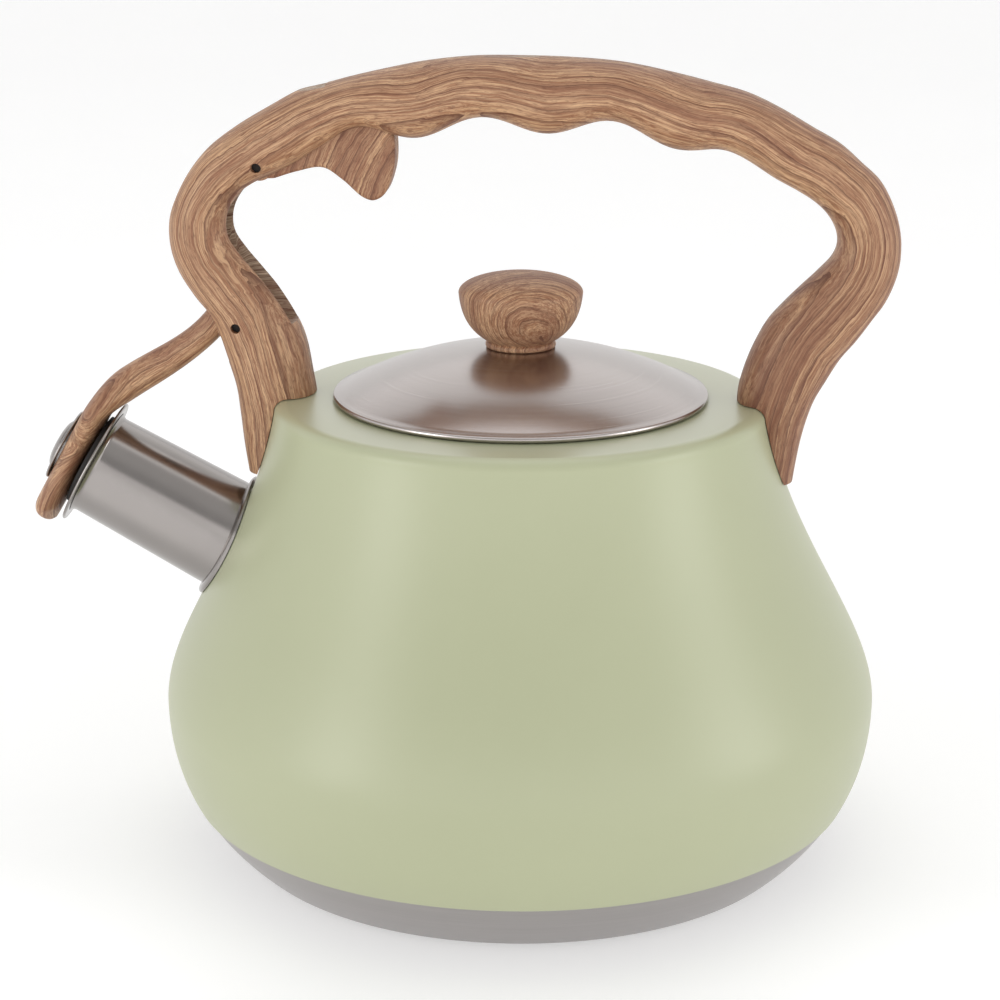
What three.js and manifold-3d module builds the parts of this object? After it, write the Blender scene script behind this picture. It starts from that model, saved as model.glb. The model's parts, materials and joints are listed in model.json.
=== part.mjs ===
// Stovetop whistling kettle: a bellied steel vessel with a painted shell, a slanted spout,
// a lift-out lid and a fixed C-shaped handle. A trigger under the grip swings the spout lever,
// whose pad carries the whistle, off the mouth of the spout.
// Millimetres, +Z up, the spout towards -X. The origin is the middle of the face it stands on.

import * as THREE from "three";
import { mergeVertices } from "three/addons/utils/BufferGeometryUtils.js";
import Module from "manifold-3d";

const wasm = await Module();
wasm.setup();

// ---------------------------------------------------------------- driving dimensions

// Vessel
const bellyRadius = 100;
const bellyHeight = 44.4; // height of the widest place
const deckHeight = 129.3; // flat top that the lid and the handle stand on
const deckLand = 18.8; // from the opening out to the neck
const footRadius = 78.9; // where the round bottom corner meets the hob
const shoulderRadius = 3.6;
const sheet = 0.9; // wall of the shell
const paintLine = 17.5; // lower edge of the painted shell
const openingRadius = 49.4;
const lipDepth = 5; // turned-down lip of the opening
const roundSegments = 50;
// How far the wall's curves are pulled along their ends before they bend.
const footPull = { out: 12.1, up: 10 };
const bellyPull = { down: 20.9, up: 18.7 };
const neckPull = { out: 6.8, down: 36.8 };

// Sandwich base
const panInset = 0.5; // bare steel band set back from the painted shell
const lapHeight = 3; // how far the pan slides up inside the shell
const coverRadius = 73;
const coverThickness = 1;
const coreThickness = 3.2;
const panFloor = 1;
const bottomGap = 0.6; // the pan's edge stands this much above the hob

// Spout
const spoutDrop = 42.7; // its axis meets the wall this far below the deck
const spoutRise = 29; // degrees above level
const spoutLength = 44.2; // from the wall to the face of the mouth
const spoutRootRadius = 15.5;
const spoutMouthRadius = 14.6;
const spoutWall = 0.9;
const spoutReach = 5; // how far the tube goes in behind the wall
const flareRadius = 15.6;
const flareLength = 1.5;
const mouthRingRadius = 18.5;
const mouthRingHole = 11.5;
const mouthRingThickness = 0.9;
const collarWidth = 2.4;
const collarThickness = 1.4;

// Lid
const lidOverlap = 2.6; // the rim of the lid lies this far outside the opening
const lidRise = 12.8; // dome above its own rim
const lidRimHeight = 1.6;
const lidSheet = 0.8;
const skirtPlay = 0.7; // between the skirt and the opening
const skirtDepth = 9;

// Knob
const knobRadius = 17.1;
const knobHeight = 20.5;
const knobFootRadius = 9.7;
const knobWidestShare = 0.74; // of its height, up from the foot
const knobScrewRadius = 1.95;
const insertRadius = 3.6;
const insertLength = 9;
const washerRadius = 7;
const washerThickness = 1;

// Handle
const handleShift = 1.25; // the handle sits this much towards +X
const gripTop = 93.5; // top of the grip above the deck
const gripHalfDepth = 12.6;
const legHalfDepth = 11.2;
const squareness = 2.35; // 2 is an ellipse, more is boxier
const fingerPitch = 35.5;
const fingerDepth = 2.3;
const fingerRidge = 7; // a ridge between two fingers stands at this x
const slotHalfWidth = 5.3; // the slot that holds the trigger and the lever
const ringPoints = 18;

// Pins, trigger and lever
const triggerPin = { x: -3.85, z: 64 }; // from the left foot's datum
const leverPin = { x: -10.55, z: 19.9 };
const pinRadius = 1.35;
const pinRecess = 2.6; // depth of a pin's end below the side of the handle
const leverSwing = 25.6; // degrees
const swingRatio = 1.6; // lever's turn for each degree of the trigger
const slotPlay = 0.4; // on each side of what works in the slot
const noseRadius = 2.5;
const fingerWidth = 4.2;
const fingerHalfWidth = 3.3;
const fingerOffset = 3.5; // the pushed face stands this much to the left of the lever's pin
const noseGap = 0.6;
const armHalf = 3.8; // half the lever arm's thickness near its pin
const armThins = { from: 0.68, to: 0.95 }; // of the arm's length, so that it clears the mouth ring
const padThickness = 6.9;
const padHalfWidth = 15;
const padAbove = 12; // the pad's straight part above and below the axis of the spout
const padBelow = 20.3;
const padTipLength = 5; // the pad thins towards its tip over this length

// Whistle and gasket
const gasketRadius = 13.4;
const gasketHole = 8.6;
const gasketThickness = 1.4;
const whistleBore = 7.9;
const whistleFlange = 10.5;
const whistleHole = 1.6;

// Return spring
const wireRadius = 0.5;
const coilRadius = 3.9;
const coilTurns = 2.75;

// Brackets and their screws
const bracketThickness = 1.5;
const bracketHeight = 9.5;
const bracketHalfWidth = 5.5;
const bracketNotch = 2.3; // half the width between the two prongs
const bracketFoot = 3.5; // length of the foot on the deck
const screwRadius = 1.4;
const screwInset = 2.3; // screws stand this far in from the edge of the flat deck
const screwLength = 6.3; // from the underside of the deck
const screwHeadRadius = 2.4;
const screwHeadThickness = 1.6;

// Clearances
const seat = 0.2; // between pieces that rest on each other
const faceGap = 0.1; // between flat faces that touch
const running = 0.08; // radial, pin in a bore that turns
const press = 0.05; // radial, pin in a bore that holds it

// ---------------------------------------------------------------- sizes that follow

const neckRadius = openingRadius + deckLand;
const spoutHeight = deckHeight - spoutDrop;
const lidRadius = openingRadius + lidOverlap;
const sideHalfWidth = slotHalfWidth - slotPlay;
const deckEdge = neckRadius - shoulderRadius; // the flat of the deck ends here
// The heads of the handle's screws stay clear of the lip of the opening.
const screwPlace = Math.max(
  deckEdge - screwInset,
  openingRadius + sheet + seat + screwHeadRadius,
);

// ---------------------------------------------------------------- small helpers

const radians = THREE.MathUtils.degToRad;
const unit = (angle) => new THREE.Vector2(Math.cos(angle), Math.sin(angle));

// Positions only, shared vertices merged, collapsed triangles dropped, faces pointing out.
function welded(geometry) {
  const bare = new THREE.BufferGeometry();
  bare.setAttribute("position", geometry.getAttribute("position").clone());
  if (geometry.index) bare.setIndex(geometry.index.clone());
  const merged = mergeVertices(bare, 1e-4);
  const corners = merged.index.array;
  const kept = [];
  for (let i = 0; i < corners.length; i += 3) {
    const [a, b, c] = [corners[i], corners[i + 1], corners[i + 2]];
    if (a !== b && b !== c && c !== a) kept.push(a, b, c);
  }
  if (volume(merged.getAttribute("position"), kept) < 0) kept.reverse();
  merged.setIndex(kept);
  return merged;
}

function volume(position, corners) {
  const [a, b, c] = [new THREE.Vector3(), new THREE.Vector3(), new THREE.Vector3()];
  let six = 0;
  for (let i = 0; i < corners.length; i += 3) {
    a.fromBufferAttribute(position, corners[i]);
    b.fromBufferAttribute(position, corners[i + 1]);
    c.fromBufferAttribute(position, corners[i + 2]);
    six += a.dot(b.cross(c));
  }
  return six / 6;
}

function solid(geometry) {
  const closed = welded(geometry);
  const vertProperties = new Float32Array(closed.getAttribute("position").array);
  const triVerts = new Uint32Array(closed.index.array);
  return new wasm.Manifold(new wasm.Mesh({ numProp: 3, vertProperties, triVerts }));
}

function shapeOf(manifold) {
  const made = manifold.getMesh();
  const geometry = new THREE.BufferGeometry();
  geometry.setAttribute("position", new THREE.BufferAttribute(made.vertProperties, 3));
  geometry.setIndex(new THREE.BufferAttribute(made.triVerts, 1));
  return geometry;
}

// A solid of revolution about Z from [radius, height] points.
function turned(profile, segments = roundSegments) {
  const points = profile.map(([r, z]) => new THREE.Vector2(r, z));
  if (THREE.ShapeUtils.area(points) < 0) points.reverse();
  const open = points[0].x > 0 || points[points.length - 1].x > 0;
  if (open) points.push(points[0].clone());
  return new THREE.LatheGeometry(points, segments).rotateX(Math.PI / 2);
}

// An outline in the XZ plane, thick in Y from near to far.
function pressed(shape, near, far, bevel = 0) {
  const geometry = new THREE.ExtrudeGeometry(shape, {
    depth: far - near - 2 * bevel,
    curveSegments: 8,
    bevelEnabled: bevel > 0,
    bevelThickness: bevel,
    bevelSize: bevel,
    bevelOffset: -bevel,
    bevelSegments: 2,
  });
  return geometry.rotateX(Math.PI / 2).translate(0, far - bevel, 0);
}

const outline = (points) => new THREE.Shape(points.map(([x, z]) => new THREE.Vector2(x, z)));

// Rods along an axis, from one end to the other.
function rodY(radius, from, to, x, z, segments = 24) {
  return new THREE.CylinderGeometry(radius, radius, to - from, segments).translate(x, (from + to) / 2, z);
}

function rodZ(radius, from, to, segments = 36) {
  const rod = new THREE.CylinderGeometry(radius, radius, to - from, segments);
  return rod.rotateX(Math.PI / 2).translate(0, 0, (from + to) / 2);
}

function block([x0, y0, z0], [x1, y1, z1]) {
  const box = new THREE.BoxGeometry(Math.abs(x1 - x0), Math.abs(y1 - y0), Math.abs(z1 - z0));
  return box.translate((x0 + x1) / 2, (y0 + y1) / 2, (z0 + z1) / 2);
}

// A skin over oval rings with flat ends. Each ring has a centre and a direction across in the
// XZ plane, a half size across and a half size in Y.
function lofted(rings) {
  const position = [];
  const corners = [];
  const curl = (value) => Math.sign(value) * Math.abs(value) ** (2 / squareness);
  for (const ring of rings)
    for (let j = 0; j < ringPoints; j += 1) {
      const turn = unit((2 * Math.PI * (j + 0.5)) / ringPoints);
      const across = curl(turn.x) * ring.half;
      const side = curl(turn.y) * ring.depth;
      position.push(ring.x + ring.across.x * across, side, ring.z + ring.across.y * across);
    }
  for (let i = 0; i + 1 < rings.length; i += 1)
    for (let j = 0; j < ringPoints; j += 1) {
      const next = (j + 1) % ringPoints;
      const [a, b] = [i * ringPoints + j, i * ringPoints + next];
      corners.push(a, b, b + ringPoints, a, b + ringPoints, a + ringPoints);
    }
  const last = (rings.length - 1) * ringPoints;
  for (let j = 1; j + 1 < ringPoints; j += 1) {
    corners.push(0, j + 1, j);
    corners.push(last, last + j, last + j + 1);
  }
  const geometry = new THREE.BufferGeometry();
  geometry.setAttribute("position", new THREE.Float32BufferAttribute(position, 3));
  geometry.setIndex(corners);
  return geometry;
}

function subtractAll(from, ...cutters) {
  return cutters.reduce((left, cutter) => left.subtract(solid(cutter)), from);
}

// ---------------------------------------------------------------- materials

function finish(color, roughness, metalness) {
  return new THREE.MeshStandardMaterial({ color, roughness, metalness });
}

const paint = finish(0xb7bd9d, 0.35, 0.0);
const brushedSteel = finish(0xb4b1ae, 0.34, 1.0);
const polishedSteel = finish(0xc6c4c2, 0.14, 1.0);
const plainSteel = finish(0x9a9a9c, 0.4, 1.0);
const aluminium = finish(0xc2c4c6, 0.5, 1.0);
const brass = finish(0xb99a55, 0.35, 1.0);
const woodGrain = finish(0xa87c5c, 0.55, 0.0);
const silicone = finish(0x1c1a1a, 0.7, 0.0);

function mesh(name, geometry, material) {
  const made = new THREE.Mesh(geometry, material);
  made.name = name;
  return made;
}

// ---------------------------------------------------------------- vessel outline

// The wall seen from the side: a round corner up to the belly, then a long S up to the neck.
const lowerCurve = new THREE.CubicBezierCurve(
  new THREE.Vector2(footRadius, 0),
  new THREE.Vector2(footRadius + footPull.out, footPull.up),
  new THREE.Vector2(bellyRadius, bellyHeight - bellyPull.down),
  new THREE.Vector2(bellyRadius, bellyHeight),
);
const neckEnd = new THREE.Vector2(neckRadius, deckHeight - shoulderRadius);
const upperCurve = new THREE.CubicBezierCurve(
  new THREE.Vector2(bellyRadius, bellyHeight),
  new THREE.Vector2(bellyRadius, bellyHeight + bellyPull.up),
  new THREE.Vector2(neckEnd.x + neckPull.out, neckEnd.y - neckPull.down),
  neckEnd,
);

// Points of a curve between two heights, moved inwards by a distance (outwards if negative).
function wallPoints(curve, steps, from, to, inwards) {
  const [start, end] = [parameterAt(curve, from), parameterAt(curve, to)];
  const points = [];
  for (let i = 0; i <= steps; i += 1) {
    const t = start + ((end - start) * i) / steps;
    const point = curve.getPoint(t);
    const along = curve.getTangent(t);
    points.push([point.x - along.y * inwards, point.y + along.x * inwards]);
  }
  return points;
}

// Both curves only ever climb, so halving finds the place at a height.
function parameterAt(curve, height) {
  let [low, high] = [0, 1];
  for (let i = 0; i < 40; i += 1) {
    const middle = (low + high) / 2;
    if (curve.getPoint(middle).y < height) low = middle;
    else high = middle;
  }
  return (low + high) / 2;
}

function shoulderPoints(inwards, steps = 3) {
  const points = [];
  for (let i = 1; i <= steps; i += 1) {
    const turn = unit((Math.PI / 2) * (i / steps));
    const radius = shoulderRadius - inwards;
    points.push([
      neckRadius - shoulderRadius + turn.x * radius,
      deckHeight - shoulderRadius + turn.y * radius,
    ]);
  }
  return points;
}

// The whole vessel as one solid without its opening, grown outwards, for what has to fit round it.
function vesselGrown(by) {
  return turned([
    [0, 0],
    ...wallPoints(lowerCurve, 6, 0, bellyHeight, -by),
    ...wallPoints(upperCurve, 14, bellyHeight, neckEnd.y, -by).slice(1),
    ...shoulderPoints(-by),
    [0, deckHeight + by],
  ]);
}

const wallRadiusAtSpout = upperCurve.getPoint(parameterAt(upperCurve, spoutHeight)).x;

// The spout's own frame: local +Z runs out along its axis, local +X up and back.
const spoutRoot = new THREE.Vector3(-wallRadiusAtSpout, 0, spoutHeight);
const spoutTurn = radians(spoutRise - 90);
const spoutMatrix = new THREE.Matrix4()
  .makeRotationY(spoutTurn)
  .setPosition(spoutRoot);

function inSpoutFrame() {
  const group = new THREE.Group();
  group.position.copy(spoutRoot);
  group.rotation.y = spoutTurn;
  return group;
}

// ---------------------------------------------------------------- vessel pieces

// Painted shell: from the paint line up over the shoulder to the turned-down lip of the opening.
function bodyShell() {
  const lapTop = paintLine + lapHeight;
  const side = (upperSteps, inwards) => [
    ...wallPoints(lowerCurve, 1, paintLine, lapTop, inwards),
    ...wallPoints(lowerCurve, 3, lapTop, bellyHeight, inwards).slice(1),
    ...wallPoints(upperCurve, upperSteps, bellyHeight, neckEnd.y, inwards).slice(1),
    ...shoulderPoints(inwards),
  ];
  const outer = side(11, 0);
  const inner = side(8, sheet);
  const lip = [
    [openingRadius + 1, deckHeight],
    [openingRadius + 0.3, deckHeight - 0.3],
    [openingRadius, deckHeight - 1],
    [openingRadius, deckHeight - lipDepth],
    [openingRadius + sheet, deckHeight - lipDepth],
    [openingRadius + sheet, deckHeight - 1.4],
    [openingRadius + sheet + 0.5, deckHeight - sheet],
  ];
  const shell = solid(turned([...outer, ...lip, ...inner.reverse()]));
  const spoutHole = rodZ(spoutRootRadius + 0.25, -spoutReach - 8, 8).applyMatrix4(spoutMatrix);
  const screwHole = (side) =>
    rodZ(screwRadius + running, deckHeight - 2, deckHeight + 1, 20).translate(side * screwPlace, 0, 0);
  const made = subtractAll(shell, spoutHole, screwHole(-1), screwHole(1));
  return mesh("body_shell", shapeOf(made), paint);
}

// Bare steel pan: the band under the paint line, the floor, and a lap inside the shell.
function basePan() {
  const coverTop = coverThickness + faceGap;
  const floorUnder = coverTop + coreThickness + faceGap;
  const floorTop = floorUnder + panFloor;
  const lapOut = sheet + faceGap;
  const inside = lapOut + sheet;
  const innerWall = wallPoints(lowerCurve, 3, floorTop, paintLine + lapHeight, inside);
  innerWall[0][1] = floorTop;
  const bandTop = paintLine - seat;
  const lap = wallPoints(lowerCurve, 1, bandTop, paintLine + lapHeight, lapOut);
  return mesh(
    "base_pan",
    turned([
      [0, floorUnder],
      [coverRadius + seat, floorUnder],
      [coverRadius + seat, bottomGap],
      [footRadius - panInset - 1.2, bottomGap],
      ...wallPoints(lowerCurve, 5, bottomGap + 0.7, bandTop, panInset),
      ...lap,
      ...innerWall.reverse(),
      [0, floorTop],
    ]),
    brushedSteel,
  );
}

function baseCore() {
  const radius = coverRadius - 0.4;
  const bottom = coverThickness + faceGap;
  return mesh("base_core", rodZ(radius, bottom, bottom + coreThickness, roundSegments), aluminium);
}

// The disc that stands on the hob, with a rounded edge.
function baseCover() {
  const edge = coverThickness / 2;
  return mesh(
    "base_cover",
    turned([
      [0, 0],
      [coverRadius - edge, 0],
      [coverRadius, edge],
      [coverRadius, coverThickness],
      [0, coverThickness],
    ]),
    brushedSteel,
  );
}

// ---------------------------------------------------------------- spout pieces

const mouthBack = spoutLength - mouthRingThickness - faceGap;

function spoutTube() {
  const flareStart = mouthBack - flareLength;
  const flareWidth = flareRadius - spoutMouthRadius;
  const bore = (r) => r - spoutWall;
  return mesh(
    "spout_tube",
    turned(
      [
        [spoutRootRadius, -spoutReach],
        [spoutRootRadius, 4],
        [spoutMouthRadius, flareStart],
        [spoutMouthRadius + flareWidth * 0.25, flareStart + flareLength * 0.6],
        [flareRadius, mouthBack],
        [bore(flareRadius), mouthBack],
        [bore(spoutMouthRadius + flareWidth * 0.25), flareStart + flareLength * 0.7],
        [bore(spoutMouthRadius), flareStart],
        [bore(spoutRootRadius), 4],
        [bore(spoutRootRadius), -spoutReach],
      ],
      36,
    ),
    polishedSteel,
  );
}

function spoutMouthRing() {
  const [back, front] = [mouthBack + faceGap, spoutLength];
  return mesh(
    "spout_mouth_ring",
    turned(
      [
        [mouthRingHole, front],
        [mouthRingHole, back],
        [mouthRingRadius - 0.3, back],
        [mouthRingRadius, back + 0.3],
        [mouthRingRadius, front - 0.3],
        [mouthRingRadius - 0.3, front],
      ],
      36,
    ),
    polishedSteel,
  );
}

// A flange that follows the curve of the wall all round the root of the tube.
function spoutCollar() {
  const inner = spoutRootRadius + 0.35;
  const outer = spoutRootRadius + collarWidth + 0.3;
  const ring = turned(
    [
      [inner, -6],
      [outer, -6],
      [outer, 8],
      [inner, 8],
    ],
    36,
  ).applyMatrix4(spoutMatrix);
  const outside = solid(vesselGrown(collarThickness + seat));
  const made = solid(ring).intersect(outside).subtract(solid(vesselGrown(seat)));
  return mesh("spout_collar", shapeOf(made), polishedSteel);
}

// ---------------------------------------------------------------- lid pieces

// Height of the dome above the deck at a radius: a piece of a sphere.
const domeEdge = lidRadius - 1;
const domeSphere = (domeEdge ** 2 + lidRise ** 2) / (2 * lidRise);
const domeBase = deckHeight + lidRimHeight;
const domeApex = domeBase + lidRise;

function domeHeight(radius, inwards = 0) {
  const sphere = domeSphere - inwards;
  return domeApex - domeSphere + Math.sqrt(sphere ** 2 - radius ** 2);
}

function domePoints(from, to, steps, inwards) {
  const points = [];
  for (let i = 0; i <= steps; i += 1) {
    const radius = from + ((to - from) * i) / steps;
    points.push([radius, domeHeight(radius, inwards)]);
  }
  return points;
}

const lidHole = knobScrewRadius + 0.35;

function lidDome() {
  const under = deckHeight + faceGap;
  return mesh(
    "lid_dome",
    turned([
      ...domePoints(lidHole, domeEdge - 2.2, 5, lidSheet),
      [domeEdge - 1.4, under],
      [domeEdge + 0.3, under],
      [lidRadius - 0.2, under + 0.4],
      [lidRadius, under + 1],
      [lidRadius - 0.3, domeBase + 0.1],
      ...domePoints(domeEdge, lidHole, 7, 0),
    ]),
    brushedSteel,
  );
}

// Plain ring welded under the dome, which centres the lid in the opening.
function lidSkirt() {
  const outer = openingRadius - skirtPlay;
  const inner = outer - lidSheet;
  const bottom = deckHeight - skirtDepth;
  const top = (radius) => domeHeight(radius, lidSheet) - 0.5;
  return mesh(
    "lid_skirt",
    turned([
      [outer, bottom + 0.8],
      [outer, top(outer)],
      [inner - 5, top(inner - 5)],
      [inner - 5, top(inner - 5) - lidSheet],
      [inner, top(outer) - lidSheet - 0.2],
      [inner, bottom + lidSheet],
      [inner - 1.6, bottom + lidSheet],
      [inner - 1.6, bottom],
      [outer - 0.8, bottom],
    ]),
    plainSteel,
  );
}

const knobFoot = (radius) => domeHeight(radius) + faceGap;

// Low rounded top over a bowl that narrows to a small foot.
function lidKnob() {
  const base = knobFoot(knobFootRadius);
  const insertTop = knobFoot(0) + insertLength + 0.8;
  const widest = base + knobHeight * knobWidestShare;
  const side = new THREE.CubicBezierCurve(
    new THREE.Vector2(knobFootRadius - 0.3, base + 2),
    new THREE.Vector2(knobFootRadius + 5, base + 5),
    new THREE.Vector2(knobRadius - 0.5, widest - 5.5),
    new THREE.Vector2(knobRadius, widest),
  );
  const crown = new THREE.CubicBezierCurve(
    new THREE.Vector2(knobRadius, widest),
    new THREE.Vector2(knobRadius + 0.1, widest + 3.1),
    new THREE.Vector2(9, base + knobHeight),
    new THREE.Vector2(0, base + knobHeight),
  );
  return mesh(
    "lid_knob",
    turned(
      [
        [insertRadius + press, knobFoot(insertRadius)],
        [knobFootRadius - 0.5, knobFoot(knobFootRadius)],
        [knobFootRadius, base + 0.4],
        [knobFootRadius, base + 1.4],
        ...side.getPoints(8).map((p) => [p.x, p.y]),
        ...crown.getPoints(8).map((p) => [p.x, p.y]).slice(1),
        [0, insertTop],
        [insertRadius + press, insertTop],
      ],
      40,
    ),
    woodGrain,
  );
}

function knobInsert() {
  const bottom = knobFoot(0) + 0.3;
  const bore = knobScrewRadius + press;
  return mesh(
    "knob_insert",
    turned(
      [
        [bore, bottom],
        [insertRadius, bottom],
        [insertRadius, bottom + insertLength],
        [bore, bottom + insertLength],
      ],
      24,
    ),
    brass,
  );
}

const washerTop = domeHeight(washerRadius, lidSheet) - faceGap;

function knobWasher() {
  return mesh(
    "knob_washer",
    turned(
      [
        [knobScrewRadius + running, washerTop - washerThickness],
        [washerRadius, washerTop - washerThickness],
        [washerRadius, washerTop],
        [knobScrewRadius + running, washerTop],
      ],
      30,
    ),
    plainSteel,
  );
}

// Pan-head screw up through the washer and the dome into the insert, with a driver slot.
function knobScrew() {
  const seatHeight = washerTop - washerThickness - faceGap;
  const tip = knobFoot(0) + insertLength - 0.6;
  const headRadius = knobScrewRadius * 1.95;
  const headHeight = 2.4;
  const body = turned(
    [
      [0, seatHeight - headHeight],
      [headRadius * 0.55, seatHeight - headHeight],
      [headRadius * 0.9, seatHeight - headHeight * 0.7],
      [headRadius, seatHeight - headHeight * 0.3],
      [headRadius, seatHeight],
      [knobScrewRadius, seatHeight],
      [knobScrewRadius, tip - 0.6],
      [knobScrewRadius - 0.6, tip],
      [0, tip],
    ],
    24,
  );
  const bottom = seatHeight - headHeight;
  const slot = block([-5, -0.45, bottom - 1], [5, 0.45, bottom + 1]);
  return mesh("knob_screw", shapeOf(subtractAll(solid(body), slot)), plainSteel);
}

// ---------------------------------------------------------------- handle outline

// The handle is drawn from three datums at deck height: its left foot (spout side), its middle
// and its right foot. Each station pairs a point of the outer edge with one of the inner edge.
const leftDatum = handleShift - neckRadius;
const rightDatum = handleShift + neckRadius;

const station = (datum, outer, inner, depth) => ({
  outer: new THREE.Vector3(datum + outer[0], depth, deckHeight + outer[1]),
  inner: new THREE.Vector3(datum + inner[0], 0, deckHeight + inner[1]),
});
const tailEnd = -22.3;
const leg = legHalfDepth;
const grip = gripHalfDepth;

const stations = [
  station(leftDatum, [-9.4, tailEnd], [7, tailEnd], leg - 2.6),
  station(leftDatum, [-10.5, -14.4], [8.6, -14], leg - 1.7),
  station(leftDatum, [-11.4, -5], [10, -3], leg - 0.6),
  station(leftDatum, [-12.3, 2.2], [8.9, 5.9], leg),
  station(leftDatum, [-14.6, 10.1], [6.5, 17.3], leg),
  station(leftDatum, [-18.3, 21], [0.1, 28.6], leg),
  station(leftDatum, [-23.2, 27.4], [-4.3, 34.2], leg),
  station(leftDatum, [-27.3, 34.2], [-8.9, 39.7], leg),
  station(leftDatum, [-29.4, 41.2], [-11.9, 44.2], leg),
  station(leftDatum, [-29.4, 48.8], [-12.5, 48.2], leg),
  station(leftDatum, [-27.2, 55.2], [-11.5, 52.3], leg),
  station(leftDatum, [-23.4, 62], [-8.5, 56.5], leg),
  station(leftDatum, [-18.1, 68.3], [-3.9, 59.5], leg),
  station(leftDatum, [-10.7, 73.9], [2.2, 62.2], leg),
  station(leftDatum, [-1.5, 79.4], [8.2, 65.6], leg + 0.2),
  station(leftDatum, [7.4, 84.1], [13.7, 69.1], leg + 0.4),
  station(leftDatum, [14.7, 85.9], [18.8, 71.5], leg + 0.6),
  station(leftDatum, [21.1, 87.6], [23.5, 72.7], leg + 0.9),
  station(0, [-36, gripTop - 3.6], [-36, 73.5], grip - 0.2),
  station(0, [-26, gripTop - 1.6], [-26, 73.9], grip),
  station(0, [-13, gripTop - 0.2], [-14, 74.8], grip),
  station(0, [0, gripTop], [-1, 75.4], grip),
  station(0, [13, gripTop - 0.3], [12, 75.2], grip),
  station(0, [27.2, gripTop - 1.5], [25.1, 74.3], grip),
  station(0, [40.3, gripTop - 4], [37.1, 72.3], grip),
  station(rightDatum, [-18.5, 86.9], [-22.7, 70.7], grip - 0.3),
  station(rightDatum, [-8.7, 84.2], [-15.2, 68.5], leg + 0.8),
  station(rightDatum, [0, 80.2], [-7.6, 65.7], leg + 0.5),
  station(rightDatum, [8.9, 75.1], [-1, 61.7], leg + 0.2),
  station(rightDatum, [16.2, 70.9], [5, 58.5], leg),
  station(rightDatum, [22.1, 65.8], [9.6, 55.6], leg),
  station(rightDatum, [27.3, 60.9], [13.1, 52.3], leg),
  station(rightDatum, [31.4, 53], [15.5, 48.1], leg),
  station(rightDatum, [33.2, 45.2], [16.1, 44.2], leg),
  station(rightDatum, [32.8, 37.1], [14.9, 40.6], leg),
  station(rightDatum, [29.9, 28.9], [11.1, 36.3], leg),
  station(rightDatum, [26.2, 23.3], [6.9, 32.2], leg),
  station(rightDatum, [22.3, 17.7], [2.3, 27.5], leg),
  station(rightDatum, [18.1, 12.5], [-2.1, 22.3], leg),
  station(rightDatum, [14.5, 6.4], [-5.6, 15.6], leg),
  station(rightDatum, [11.5, 0.9], [-8.2, 8.3], leg),
  station(rightDatum, [9.4, -5.2], [-9.6, 1.6], leg - 0.4),
  station(rightDatum, [8, -11], [-9.3, -7.1], leg - 1.2),
  station(rightDatum, [7, -16.8], [-9, -15], leg - 1.9),
  station(rightDatum, [6.2, tailEnd], [-8.4, tailEnd], leg - 2.6),
];

// Finger hollows: a wave under the grip that fades out at both ends.
function fingerWave(x) {
  const fadeIn = THREE.MathUtils.smoothstep(x, leftDatum + 10, leftDatum + 28);
  const fadeOut = 1 - THREE.MathUtils.smoothstep(x, rightDatum - 22, rightDatum - 4);
  const phase = (2 * Math.PI * (x - fingerRidge)) / fingerPitch;
  return -fingerDepth * Math.cos(phase) * fadeIn * fadeOut;
}

function handleRings(count) {
  const outerEdge = new THREE.CatmullRomCurve3(stations.map((s) => s.outer));
  const innerEdge = new THREE.CatmullRomCurve3(stations.map((s) => s.inner));
  const rings = [];
  for (let i = 0; i <= count; i += 1) {
    const outer = outerEdge.getPoint(i / count);
    const inner = innerEdge.getPoint(i / count);
    inner.z += fingerWave(inner.x);
    const across = new THREE.Vector2(outer.x - inner.x, outer.z - inner.z);
    const half = across.length() / 2;
    rings.push({
      x: (outer.x + inner.x) / 2,
      z: (outer.z + inner.z) / 2,
      across: across.normalize(),
      half,
      depth: outer.y,
    });
  }
  return rings;
}

// ---------------------------------------------------------------- handle

// Where the two pins stand.
const triggerAxis = { x: leftDatum + triggerPin.x, z: deckHeight + triggerPin.z };
const leverAxis = { x: leftDatum + leverPin.x, z: deckHeight + leverPin.z };

// The slot for the mechanism, from the trigger's end of the grip down to the ledge in the leg.
// It is open below the trigger, on the leg's inner face, and where the lever comes out.
function slotCutter() {
  const at = (x, z) => [leftDatum + x, deckHeight + z];
  return pressed(
    outline([
      at(14.6, 84.2),
      at(28.6, 85.2),
      at(33.9, 78),
      at(34, 66),
      at(6, 50),
      at(6, 30),
      at(8.4, 20.9),
      at(-0.4, 19.9),
      at(-4.4, 12.6),
      at(-17, 7.8),
      at(-32, 12),
      at(-32, 32),
      at(-24.6, 34.5),
      at(-26.8, 41),
      at(-26.8, 48.6),
      at(-24.8, 54.2),
      at(-21.4, 60.4),
      at(-16.4, 66.2),
      at(-9.4, 71.2),
      at(0.2, 77),
      at(8.6, 81),
    ]),
    -slotHalfWidth,
    slotHalfWidth,
  );
}

// A shallow step moulded in the top of the handle above the trigger.
function topStep() {
  return pressed(
    outline([
      [leftDatum + 6.6, deckHeight + 83.8],
      [leftDatum + 14.5, deckHeight + 85.1],
      [leftDatum + 14.5, deckHeight + 95],
      [leftDatum + 4, deckHeight + 95],
    ]),
    -slotHalfWidth,
    slotHalfWidth,
  );
}

const screwTip = deckHeight - sheet - faceGap + screwLength;

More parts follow.
